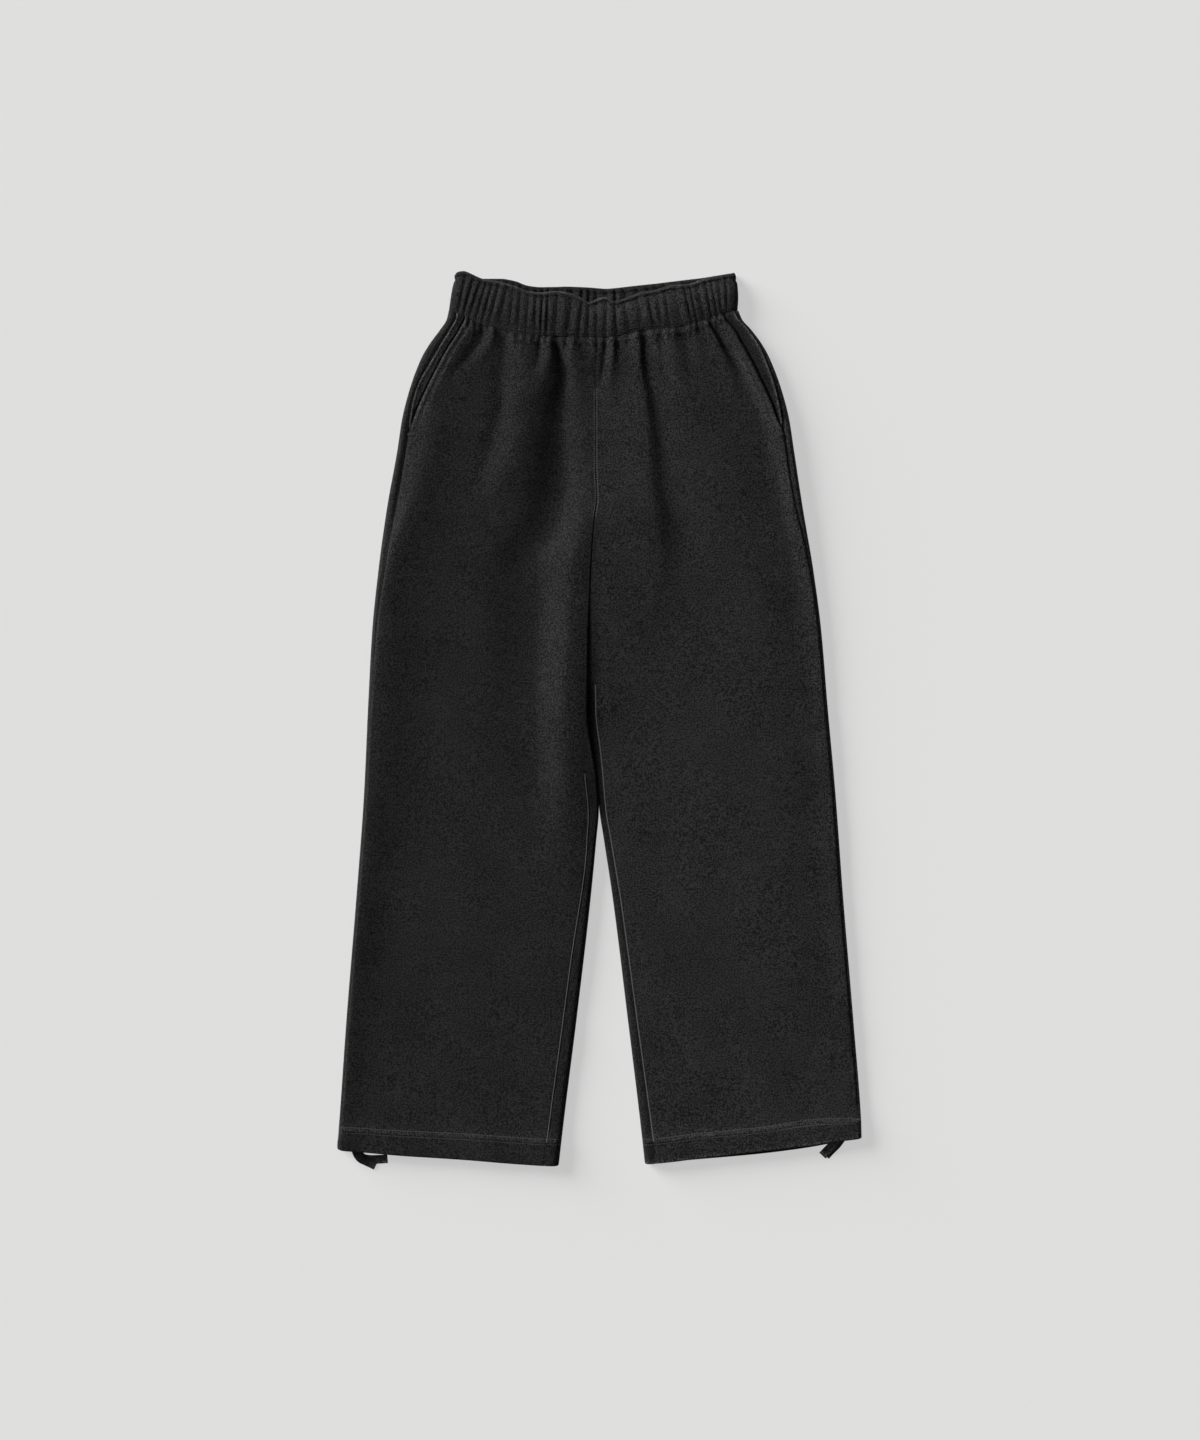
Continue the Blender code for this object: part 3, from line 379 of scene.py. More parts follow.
# The side seam fades in the hem: by how much, from which height down, and over how far.
SEAM_IN_HEM = (0.7, -424.0, 22.0)
POCKET_OPENS_OVER = 6.0
SEAM_DIP = 0.35
CENTRE_SEAM_DIP = 0.35
SEAM_REACH = 1.7
INSEAM_SHOWS_BELOW = {"right": -50.0, "left": 50.0}
CREASE_FADE = 26.0
# The ridge along the back's strip beside an open pocket: its height, its share of the way in, its width,
# the strip's width where it starts, and over how much more it grows.
STRIP_RIDGE = (0.5, 0.62, 1.1, 9.0, 3.0)
# The front's raised and sunk lines beside the open pocket's edge: height, distance and width.
POCKET_RIDGE = (0.9, 3.0, 2.6)
POCKET_GROOVE = {"right": (-0.2, 6.2, 1.0), "left": (-0.65, 6.2, 1.1)}
POCKET_INNER_RIDGE = (0.5, 10.2, 2.2)
# How far the front drops at the pocket's edge, and over what width. Then the same at the waist seam, with
# the puff and the puckers below it, and the hem's stitches: height, distance and width.
POCKET_EDGE = {"right": (1.4, 1.6), "left": (0.7, 1.0)}
WAIST_FALL = (0.45, 2.6)
WAIST_PUFF = (0.7, 6.0, 3.0)
PUCKERS = (0.6, 11.0)
HEM_NEEDLES = 3.0
HEM_NEEDLE_DIP = (0.3, 0.9)
HEM_PUFF = (0.5, 0.0, 2.4)


def pleat_place(x):
    """Which of the waistband's pleats meets the waist seam at x, as a number that runs on between them."""
    return np.interp(x, PLEATS["seam"], np.arange(len(PLEATS["seam"])))


def side_seam_shows(level):
    """How much of the side seam's groove shows: the hem's fold takes it up."""
    share, start, over = SEAM_IN_HEM
    return 1 - share * ease((start - level) / over)


class Leg:
    """One side of the trousers at the heights y: where its edges are, and how high its top surface is."""

    def __init__(self, side, y, level):
        self.side = side
        self.y = y
        self.level = level
        sign = SIDE_SIGN[side]
        meet = MEETING * (level > PARTING_Y)
        self.edge_x = {"outer": smooth(OUTLINE, side, y), "inner": smooth(INNER, side, y) - sign * meet}
        self.inward = {"outer": -sign, "inner": sign}
        self.inseam = smooth(INSEAM, side, y)
        self.back_seam = smooth(SIDE_SEAM, "back_" + side, y)
        self.front_seam = smooth(SIDE_SEAM, "front_" + side, y)
        self.opened = np.clip((self.front_seam - self.back_seam - SEAM_GAP) / POCKET_OPENS_OVER, 0, 1)
        self.inseam_shows = ease((INSEAM_SHOWS_BELOW[side] - level) / CREASE_FADE)

    def across(self, edge, distance):
        return self.edge_x[edge] + self.inward[edge] * distance

    def in_from(self, edge, x):
        return (x - self.edge_x[edge]) * self.inward[edge]

    def height(self, x):
        least = 2 * smooth(LAY, "cloth", self.level) + LEAST_GAP
        lay = smooth(LAY, "height", self.level) + folds(x, self.y, self.side) + ripple(x, self.y)
        return least + np.logaddexp(0, (lay - least) / TROUGH_SOFTNESS) * TROUGH_SOFTNESS

    def top(self, x):
        """The height of the top surface at x, with the seams' dips and the rounding of the edges."""
        height = self.height(x)
        z = height.copy()
        high = above(self.level, CROTCH_Y, CREASE_FADE)
        for edge in ("outer", "inner"):
            roll, end = (INNER_ROLL, "") if edge == "inner" else (ROLL, "_" + self.side)
            reach, shoulder = (smooth(roll, name + end, self.level) for name in (edge, "shoulder"))
            drop = fall(self.in_from(edge, x), height - shoulder, reach)
            z -= drop * (1 - high) if edge == "inner" else drop
        outer = self.in_from("outer", x)
        inner = self.in_from("inner", x)
        # The side seam, and the pocket's edge where the seam is open.
        off = outer - self.back_seam
        opened = self.opened
        dip = (SIDE_SEAM_DIP[0] * (1 - opened) + SIDE_SEAM_OPEN_DIP * opened) * side_seam_shows(self.level)
        z -= dip * bump(off, np.where(off < 0, SIDE_SEAM_DIP[1] - opened, SIDE_SEAM_DIP[2]))
        ridge, share, width, *wide = STRIP_RIDGE
        z += ridge * above(self.back_seam, *wide) * bump(outer - share * self.back_seam, width)
        own = np.maximum(outer - self.front_seam, 0)
        opened = opened * (outer > self.front_seam - SEAM_GAP / 2)
        for sunk_or_raised in (POCKET_RIDGE, POCKET_GROOVE[self.side], POCKET_INNER_RIDGE):
            z += opened * line(own, *sunk_or_raised)
        z -= opened * fall(own, *POCKET_EDGE[self.side])
        # The inseam below the crotch and the centre seam above it.
        z -= SEAM_DIP * bump(inner - self.inseam, SEAM_REACH) * self.inseam_shows
        z -= CENTRE_SEAM_DIP * bump(inner, SEAM_REACH) * high
        # The cloth rolls down into the waist seam, and puffs beside it.
        below = below_waist(x, self.y)
        z += line(below, *WAIST_PUFF) - fall(below, *WAIST_FALL)
        z += PUCKERS[0] * np.cos(2 * math.pi * pleat_place(x)) * bump(below, PUCKERS[1])
        # The hem's two needle lines and the cloth raised between them.
        from_stitch = self.y - smooth(HEM, "front", x) - smooth(HEM, "stitch", x)
        for needle in (-HEM_NEEDLES, HEM_NEEDLES):
            z -= line(from_stitch, HEM_NEEDLE_DIP[0], needle, HEM_NEEDLE_DIP[1])
        return z + line(from_stitch, *HEM_PUFF)


# How much lighter (+) or darker (-) the cloth is painted in each place, as painted highlights and painted
# shade. Where there are more numbers, the next ones are how far in the place is and how wide.
# Painted shade along the side seam, the waist seam and the band's seam. Then the front painted lighter near
# the waist seam, fading out 50 mm below it, a painted highlight along the hem's stitching, and the place and
# width of the painted highlight on the hem's folded edge.
SEAM_PAINTED_SHADE = {"side": (-0.25, 0.0, 1.8), "waist": (-0.15, 0.0, 2.2), "band": (-0.1, 0.0, 1.6)}
WAIST_PAINTED_LIGHT = (0.2, 50.0)
HEM_PAINTED_HIGHLIGHT = (0.5, 3.0)
HEM_EDGE_HIGHLIGHT_PLACE = (1.69, 1.3)
# Each leg's painted highlights (+) and painted shade (-): on its inner strip, hem edge, outer edge and outer
# strip, along the pocket's edge, groove and ridge, beside the closed seam, and on the facing's bead and
# plane. "all" paints the whole left leg lighter.
LEG_PAINTED_LIGHT = {
    "right": {
        "all": 0.0, "strip": -0.25, "hem_edge": 0.2, "outer_edge": 0.0, "outer_strip": -0.1,
        "edge": (0.85, 2.0, 2.6), "low_edge": 0.3, "groove": (0.3, 6.2, 1.2), "ridge": (0.9, 10.2, 3.0),
        "closed_seam": (0.25, 4.0, 6.0), "bead": 1.9, "bead_fades": 0.15, "facing": (0.5, -0.2)},
    "left": {
        "all": 0.3, "strip": -0.55, "hem_edge": 2.4, "outer_edge": 3.0, "outer_strip": 1.6,
        "edge": (0.3, 2.0, 2.6), "low_edge": 1.5, "groove": (-0.35, 6.2, 1.2), "ridge": (0.6, 10.2, 3.0),
        "closed_seam": (0.8, 1.5, 1.6), "bead": 3.0, "bead_fades": 0.6, "facing": (0.5, -0.5)},
}
# The widths over which one leg's painted light turns into the other's, on the legs and on the waistband.
LEG_TO_LEG = 12.0
BAND_LEG_TO_LEG = 40.0
# Where each of these painted highlights and shades starts, and over how far it grows: the low edge
# downwards, the others upwards.
LOW_EDGE_GROWS = (362.0, 20.0)
CLOSED_SEAM_GROWS = (20.0, 60.0)
OUTER_STRIP_GROWS = (278.0, 60.0)
OUTER_EDGE_WIDTH = 2.0
# By how much the outer edge's painted highlight fades above the crotch, and over how far.
OUTER_EDGE_FADE = (0.3, 100.0)
# The front half of the band painted lighter and the back half darker, painted shade at the band's ends, and
# along the front's rim a painted highlight (+) or painted shade (-) at each x.
BAND_PAINTED_LIGHT = {"front": 0.2, "back": -0.3}
BAND_END_PAINTED_SHADE = (-0.5, 1.2, 1.6)
RIM_PAINTED_LIGHT = table("x nap", (
    (-160, -0.4), (-136, -0.2), (-126, 0.7), (-20, 1.1), (-10, 0), (0, 0.9), (10, 0.9), (16, -0.5),
    (72, -0.5), (80, 0.2), (88, 0.2), (94, -0.4), (101, 0.4), (113, 0.4), (120, -0.6), (150, -0.6),
))
# The rim's painted highlight and shade: how far below the top edge, and how wide where it is lighter and
# where it is darker.
RIM_PAINTED_LIGHT_PLACE = (0.8, 0.95, 2.8)


def leg_painted_light(side, points):
    """The painted light and shade of a panel's outer face."""
    x, y = points[..., 0], points[..., 1]
    nap = LEG_PAINTED_LIGHT[side]
    leg = Leg(side, y, y)
    outer, inner = leg.in_from("outer", x), leg.in_from("inner", x)
    own = outer - leg.front_seam
    value = nap["all"] * ease(SIDE_SIGN[side] * x / LEG_TO_LEG + 0.5)
    value += line(outer - leg.back_seam, *SEAM_PAINTED_SHADE["side"]) * side_seam_shows(y)
    for place in ("edge", "groove", "ridge"):
        value += leg.opened * line(own, *nap[place])
    low_edge = nap["low_edge"] * ease((LOW_EDGE_GROWS[0] - y) / LOW_EDGE_GROWS[1])
    value += leg.opened * line(own, low_edge, *nap["edge"][1:])
    shows = (1 - leg.opened) * above(y, *CLOSED_SEAM_GROWS) * (own > -SEAM_GAP / 2)
    value += shows * line(own, *nap["closed_seam"])
    below = below_waist(x, y)
    value += line(below, *SEAM_PAINTED_SHADE["waist"])
    value += WAIST_PAINTED_LIGHT[0] * ease((WAIST_PAINTED_LIGHT[1] - below) / WAIST_PAINTED_LIGHT[1])
    value += nap["strip"] * ease(leg.inseam - inner) * leg.inseam_shows
    up = y - smooth(HEM, "front", x)
    value += line(up, HEM_PAINTED_HIGHLIGHT[0], smooth(HEM, "stitch", x), HEM_PAINTED_HIGHLIGHT[1])
    value += line(up, nap["hem_edge"], *HEM_EDGE_HIGHLIGHT_PLACE)
    faded, over = OUTER_EDGE_FADE
    value += nap["outer_edge"] * bump(outer, OUTER_EDGE_WIDTH) * (1 - faded * above(y, CROTCH_Y, over))
    value += nap["outer_strip"] * ease(leg.back_seam - outer) * above(y, *OUTER_STRIP_GROWS)
    return value


def bent_rows(levels, x, inner_x, layer):
    """The y of a column's rows: their levels, bent to follow the hem at one end and the waist at the
    other."""
    hem_at = smooth(HEM, layer, x) - smooth(HEM, "front", inner_x)
    waist_at = smooth(WAIST, layer + "_seam", x) - smooth(WAIST, "front_seam", inner_x)
    near_hem = np.clip((HEM_BENDS_FROM - levels) / HEM_BENDS_OVER, 0, 1)
    near_waist = np.clip((levels - WAIST_BENDS_FROM) / WAIST_BENDS_OVER, 0, 1) ** WAIST_BEND_POWER
    return levels + hem_at * near_hem + waist_at * near_waist


def laid_out(side, levels, layer, place_x, place_z=None):
    """A grid of points on a panel's outer face: its rows are levels, and place_x gives its columns' x."""
    level = levels[:, None]
    inner_x = smooth(INNER, side, level)
    y = level
    for _ in range(BENDING_ROUNDS):
        x = place_x(Leg(side, y, level))
        y = bent_rows(level, x, inner_x, layer)
    leg = Leg(side, y, level)
    x = place_x(leg)
    z = leg.top(x) if place_z is None else place_z(leg) + 0 * x
    return np.stack([x, y, z], axis=-1)


# ---------------------------------------------------------------- meshes

# A panel's rows: first the single ones up from the hem, then where each stretch starts and its step, up
# from the hem, at set heights and down from the waist, and last the single ones down from the waist.
FIRST_ROWS = (0, 0.14, 0.45, 1, 1.9)
HEM_ROWS = ((3.2, 3.2), (19, 0.8), (33, 3), (45, 4.3))
LEG_ROWS = ((140, 3), (212, 1.5), (CROTCH_Y, 1.6), (226, 3), (300, 2.4))
WAIST_ROWS = ((16, 1.2),)
LAST_ROWS = (2, 1.2, 0.5, 0)
FOLD_ROUND = 0.9
FOLD_BLUNT = 0.12
# The angles from which an edge of the cloth or of a stitch is sharp.
CLOTH_SHARP = 60.0
STITCH_SHARP = 80.0


def hem_level(side):
    return float(smooth(HEM, "front", smooth(INNER, side, HEM["front"].min())))


def waist_level(side):
    return float(smooth(WAIST, "front_seam", INNER[side][-1])) - WAIST_GAP / 2


def spread(start, end, step):
    return list(np.linspace(start, end, int(round(abs(end - start) / step)) + 1)[:-1])


def panel_levels(side):
    """The rows of a panel, closest together where it has its seams, stitches and gathers."""
    hem, waist = hem_level(side), waist_level(side)
    stretches = [(hem + up, step) for up, step in HEM_ROWS] + list(LEG_ROWS)
    stretches += [(waist - down, step) for down, step in WAIST_ROWS]
    last = [waist - down for down in LAST_ROWS]
    rows = [hem + up for up in FIRST_ROWS]
    ends = [start for start, _ in stretches[1:]] + last[:1]
    for (start, step), end in zip(stretches, ends):
        rows += spread(start, end, step)
    return np.array(rows + last)


def normals_of(points):
    """Unit normals of a grid, away from the cloth's inner side at its first columns."""
    normal = unit(np.cross(np.gradient(points, axis=0), np.gradient(points, axis=1)))
    return -normal if normal[:, :3, 2].mean() < 0 else normal


def two_faces(points, thick, fold_from=None):
    """The outer and inner faces of a cloth from the grid of its outer one. fold_from gives each row's
    distance from the fold at its end, where the two faces close in a half round."""
    normal = normals_of(points)
    half = thick[..., None] / 2
    share = np.ones(len(points)) if fold_from is None else rounded(fold_from, half[:, 0, 0] * FOLD_ROUND)
    share = np.maximum(share, FOLD_BLUNT)[:, None, None]
    middle = points - normal * half
    return middle + normal * half * share, middle - normal * half * share


surfaces = []


def linked_in(name, data):
    """A new object of the scene."""
    made = bpy.data.objects.new(name, data)
    bpy.context.scene.collection.objects.link(made)
    return made


def mesh_object(name, points, faces, sharp=CLOTH_SHARP, nap=None):
    """A smooth mesh of the points that its faces use, given in millimetres, with its painted light."""
    used, places = np.unique(np.concatenate([f.ravel() for f in faces]), return_inverse=True)
    data = bpy.data.meshes.new(name)
    start, lists = 0, []
    for f in faces:
        lists += places[start:start + f.size].reshape(f.shape).tolist()
        start += f.size
    data.from_pydata((points[used] * MM).tolist(), [], lists)
    mesh = bmesh.new()
    mesh.from_mesh(data)
    bmesh.ops.recalc_face_normals(mesh, faces=mesh.faces)
    mesh.to_mesh(data)
    mesh.free()
    if nap is not None:
        data.attributes.new("nap", "FLOAT", "POINT").data.foreach_set("value", nap[used].astype(np.float32))
    data.shade_smooth()
    data.set_sharp_from_angle(angle=math.radians(sharp))
    return linked_in(name, data)


def finished(made, material, node=None):
    """A piece with its material and its slot, riding on the root, in the place of its CAD node."""
    made.data.materials.append(material)
    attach(made, "root")
    if node:
        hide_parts(node)
    return made


def shell(name, outer, inner, present=None, nap=None, sewn=True):
    """A closed wall of cloth between two grids of points, over the cells that are present. Where it is
    sewn, stitches can be laid on it."""
    rows, columns, _ = outer.shape
    cell = np.ones((rows - 1, columns - 1), bool) if present is None else present
    index = np.arange(rows * columns).reshape(rows, columns)
    a, b, c, d = index[:-1, :-1], index[:-1, 1:], index[1:, 1:], index[1:, :-1]
    under = rows * columns
    top = np.stack([a, b, c, d], -1)[cell]
    faces = [top, np.stack([d, c, b, a], -1)[cell] + under]
    padded = np.pad(cell, 1)
    for dr, dc, p, q in ((-1, 0, a, b), (0, 1, b, c), (1, 0, c, d), (0, -1, d, a)):
        edge = cell & ~padded[1 + dr:rows + dr, 1 + dc:columns + dc]
        faces.append(np.stack([q, p, p + under, q + under], -1)[edge])
    if sewn:
        surfaces.append((outer.reshape(-1, 3), top))
    if nap is not None:
        nap = np.concatenate([nap.ravel(), np.full(rows * columns, nap.min())])
    return mesh_object(name, np.concatenate([outer.reshape(-1, 3), inner.reshape(-1, 3)]), faces, nap=nap)


# ---------------------------------------------------------------- camera, light and floor

PHOTO_HEIGHT = 1.5822
CAMERA_HEIGHT = 3.0
CAMERA_X, CAMERA_Y = 0.0004, -0.002
FOCUS_HEIGHT = 0.006
SENSOR = 24.0
FLOOR_COLOR = (0.22, 0.2185, 0.2165, 1.0)
FLOOR_GLOW = 0.522
FLOOR_GLOW_COLOR = (1.0, 0.998, 0.995, 1.0)
WORLD_LIGHT = 0.06
KEY_LIGHT = 10.2
KEY_AZIMUTH = 146.0
KEY_ELEVATION = 15.0
KEY_ANGLE = 34.0
TOP_LIGHT = 0.2
TOP_ELEVATION = 80.0
TOP_ANGLE = 60.0
FLOOR_HALF = 6.0
# How rough each material is, and how strongly it shines.
PAPER_FINISH = (0.9, 0.1)
FLEECE_FINISH = (0.9, 0.15)
THREAD_FINISH = (0.6, 0.4)
TAPE_FINISH = (0.7, 0.3)


def camera():
    data = bpy.data.cameras.new("camera")
    data.sensor_fit = "VERTICAL"
    data.sensor_height = SENSOR
    data.lens = SENSOR * (CAMERA_HEIGHT - FOCUS_HEIGHT) / PHOTO_HEIGHT
    made = linked_in("camera", data)
    made.location = (CAMERA_X, CAMERA_Y, CAMERA_HEIGHT)
    bpy.context.scene.camera = made


def sun(name, strength, azimuth, elevation, angle):
    data = bpy.data.lights.new(name, "SUN")
    data.energy = strength
    data.angle = math.radians(angle)
    made = linked_in(name, data)
    made.rotation_euler = (math.radians(90 - elevation), 0, math.radians(azimuth + 90))


def studio():
    world = bpy.data.worlds.new("studio")
    world.use_nodes = True
    background = world.node_tree.nodes["Background"]
    background.inputs["Color"].default_value = (1.0, 1.0, 1.0, 1.0)
    background.inputs["Strength"].default_value = WORLD_LIGHT
    bpy.context.scene.world = world
    sun("key", KEY_LIGHT, KEY_AZIMUTH, KEY_ELEVATION, KEY_ANGLE)
    sun("top", TOP_LIGHT, KEY_AZIMUTH, TOP_ELEVATION, TOP_ANGLE)
    bpy.context.scene.view_settings.view_transform = "Standard"
    mesh = bpy.data.meshes.new("floor")
    corners = [(x * FLOOR_HALF, y * FLOOR_HALF, 0) for x, y in ((-1, -1), (1, -1), (1, 1), (-1, 1))]
    mesh.from_pydata(corners, [], [(0, 1, 2, 3)])
    paper, _, shader = material("floor_paper", *PAPER_FINISH)
    shader.inputs["Base Color"].default_value = FLOOR_COLOR
    shader.inputs["Emission Color"].default_value = FLOOR_GLOW_COLOR
    shader.inputs["Emission Strength"].default_value = FLOOR_GLOW
    mesh.materials.append(paper)
    linked_in("floor", mesh)


# ---------------------------------------------------------------- materials

def material(name, roughness, specular):
    made = bpy.data.materials.new(name)
    made.use_nodes = True
    shader = made.node_tree.nodes["Principled BSDF"]
    shader.inputs["Roughness"].default_value = roughness
    shader.inputs["Specular IOR Level"].default_value = specular
    return made, made.node_tree, shader


def plug(tree, socket, value):
    """Links the socket to another one, or sets it to a number."""
    if isinstance(value, bpy.types.NodeSocket):
        tree.links.new(value, socket)
    else:
        socket.default_value = value


def linked(tree, kind, **inputs):
    node = tree.nodes.new(kind)
    for name, value in inputs.items():
        plug(tree, node.inputs[name.replace("_", " ")], value)
    return node


def noise(tree, coordinates, scale, detail, roughness=0.5):
    made = linked(tree, "ShaderNodeTexNoise", Vector=coordinates, Scale=scale, Detail=detail,
                  Roughness=roughness)
    return made.outputs["Fac"]


def math_node(tree, operation, first, second):
    node = tree.nodes.new("ShaderNodeMath")
    node.operation = operation
    for socket, value in zip(node.inputs, (first, second)):
        plug(tree, socket, value)
    return node.outputs[0]


def added(tree, *terms):
    """The sum of values, each with its weight."""
    total = 0.0
    for value, weight in terms:
        total = math_node(tree, "ADD", total, math_node(tree, "MULTIPLY", value, weight))
    return total


def ramped(tree, value, *stops):
    """A colour that runs between two stops, each a position and a colour."""
    ramp = linked(tree, "ShaderNodeValToRGB", Fac=value)
    for element, (position, color) in zip(ramp.color_ramp.elements, stops):
        element.position = position
        element.color = (*color, 1.0)
    return ramp.outputs["Color"]


def relieved(tree, shader, height, strength, depth):
    """The shader's surface, raised where height is more, by up to depth in metres."""
    bumps = linked(tree, "ShaderNodeBump", Strength=strength, Distance=depth, Height=height)
    tree.links.new(bumps.outputs["Normal"], shader.inputs["Normal"])


def grey(level):
    return (level, level, level)


def with_painted_light(tree, color):
    """The color scaled by the painted light: a painted highlight where the cloth is folded over, and painted
    shade along a seam.
    """
    nap = tree.nodes.new("ShaderNodeAttribute")
    nap.attribute_name = "nap"
    lit = math_node(tree, "ADD", 1.0, nap.outputs["Fac"])
    scaled = tree.nodes.new("ShaderNodeVectorMath")
    scaled.operation = "SCALE"
    tree.links.new(color, scaled.inputs[0])
    tree.links.new(lit, scaled.inputs["Scale"])
    return scaled.outputs["Vector"]


# Noises of the fleece: how many cells a metre, detail and roughness. Then their weights in its colour, the
# values between which the colour runs from dark to light, and the depth of its relief.
CLUMPS = (610.0, 3.0, 0.6)
PATCHES = (85.0, 3.0, 0.6)
WIDE = (14.0, 2.0)
FIBRES = (1300.0, 2.0)
FLEECE_WEIGHTS = (0.87, 0.06, 0.07)
FLEECE_RAMP = (0.42, 0.58)
FLEECE_DARK = (0.0006, 0.0006, 0.0006)
FLEECE_LIGHT = (0.0225, 0.0225, 0.0224)
FIBRE_WEIGHT = 0.35
FLEECE_DEPTH = 0.0022
SHEEN = {"Sheen Weight": 0.02, "Sheen Roughness": 0.45, "Sheen Tint": (0.56, 0.56, 0.555, 1.0)}
TWIST_SCALE = 900.0
WEAVE = (620.0, 2.0, 0.6)
WEAVE_RAMP = (0.4, 0.62)
THREAD_DEPTH = 0.0002
THREAD_RELIEF = 0.5
# How dark a thread is between its strands, and a tape's yarns at their darkest and lightest.
STRAND_SHADE = 0.7
YARN_SHADES = (0.3, 2.0)


def fleece(name):
    """Brushed fleece: short matted fibres in clumps of a few millimetres, lighter where they stand up, its
    colour scaled by the painted highlights and shade of the cloth.
    """
    made, tree, shader = material(name, *FLEECE_FINISH)
    place = tree.nodes.new("ShaderNodeTexCoord").outputs["Object"]
    clumps, patches, wide, fibres = (noise(tree, place, *kind) for kind in (CLUMPS, PATCHES, WIDE, FIBRES))
    mixed = added(tree, *zip((clumps, patches, wide), FLEECE_WEIGHTS))
    color = ramped(tree, mixed, (FLEECE_RAMP[0], FLEECE_DARK), (FLEECE_RAMP[1], FLEECE_LIGHT))
    tree.links.new(with_painted_light(tree, color), shader.inputs["Base Color"])
    relieved(tree, shader, added(tree, (clumps, 1.0), (fibres, FIBRE_WEIGHT)), 1.0, FLEECE_DEPTH)
    for socket, value in SHEEN.items():
        shader.inputs[socket].default_value = value
    return made


def thread(name, color):
    """Twisted thread, darker between its strands."""
    made, tree, shader = material(name, *THREAD_FINISH)
    place = tree.nodes.new("ShaderNodeTexCoord").outputs["Object"]
    twist = linked(tree, "ShaderNodeTexWave", Vector=place, Scale=TWIST_SCALE, Distortion=1.0)
    twist.bands_direction = "DIAGONAL"
    strands = ramped(tree, twist.outputs["Fac"], (0.0, [c * STRAND_SHADE for c in color]), (1.0, color))
    tree.links.new(strands, shader.inputs["Base Color"])
    relieved(tree, shader, twist.outputs["Fac"], THREAD_RELIEF, THREAD_DEPTH)
    return made


def woven(name, color):
    """The tape's weave: specks of its yarns, darker and lighter, scaled by the painted light. Its ribs are
    in its mesh.
    """
    made, tree, shader = material(name, *TAPE_FINISH)
    weave = noise(tree, tree.nodes.new("ShaderNodeTexCoord").outputs["Object"], *WEAVE)
    dark, light = ([c * shade for c in color] for shade in YARN_SHADES)
    specks = ramped(tree, weave, (WEAVE_RAMP[0], dark), (WEAVE_RAMP[1], light))
    tree.links.new(with_painted_light(tree, specks), shader.inputs["Base Color"])
    relieved(tree, shader, weave, THREAD_RELIEF, THREAD_DEPTH)
    return made


camera()
studio()

FLEECE = fleece("black_fleece")
THREAD = thread("dark_thread", (0.072, 0.072, 0.074))
HEM_THREAD = thread("grey_thread", (0.042, 0.042, 0.043))
BLACK_THREAD = thread("black_thread", grey(0.015))
# The inner tapes are a lighter copy of the same black tape: their sheen is painted into their colour.
TAPE = {"outer": woven("black_tape", grey(0.018)), "inner": woven("black_tape_painted_sheen", grey(0.050))}


# ---------------------------------------------------------------- the hem's tapes

TAPE_WIDTH = 9.6
TAPE_THICKNESS = 0.8
TAPES = {
    "hem_tape_right_outer": (
        (-270, -468, 6.1), (-267.9, -474.5, 6.1), (-265.8, -479.6, 5.8), (-262.4, -484.2, 4.4),
        (-257.2, -487.2, 2.6), (-251.9, -489.8, 1.6), (-246.4, -492.6, 1.4)),
    "hem_tape_right_inner": (
        (-268.6, -468, 5.1), (-266.4, -474.5, 5.1), (-263.4, -480.6, 4.4), (-258, -484.8, 1.6),
        (-250.5, -485.8, 0.45), (-242, -485.5, 0.45), (-233.4, -484.9, 0.45)),
    "hem_tape_left_outer": (
        (269.8, -455.4, 5.1), (265.6, -461.8, 5.1), (261.4, -467.6, 5), (257.2, -472.6, 2.6),
        (253, -477.2, 0.5), (248.8, -481.8, 0.45)),
    "hem_tape_left_inner": (
        (267, -455.4, 6.1), (262.8, -461.2, 6.1), (258.2, -466.8, 6.1), (253.8, -471.8, 4),
        (249.6, -476.6, 1.7), (245.2, -481.4, 1.6)),
}
# The tape's painted shade at its two edges, and a lighter band at the bar where its end is sewn: how much,
# where and how wide.
TAPE_EDGE_PAINTED_SHADE = (-0.7, 1.0, 0.16)
TAPE_END_LIGHTER = (0.9, 2.6, 0.7)
TAPE_STEPS = 14
RIB_PITCH = 1.5
RIB_HEIGHT = 0.12
TAPE_ACROSS = np.linspace(-1, 1, 13)
# How square the tape's sides are, and how much of its thickness is left there.
TAPE_SQUARENESS = 6
TAPE_SIDE = 0.06


def along(knots, steps):
    """Points on a smooth curve through the knots of a tape's middle line."""
    knots = np.array(knots, float)
    place = np.arange(len(knots))
    rows = {"place": place, "x": knots[:, 0], "y": knots[:, 1], "z": knots[:, 2]}
    at = np.linspace(0, len(knots) - 1, (len(knots) - 1) * steps + 1)
    return np.stack([smooth(rows, axis, at) for axis in "xyz"], axis=-1)


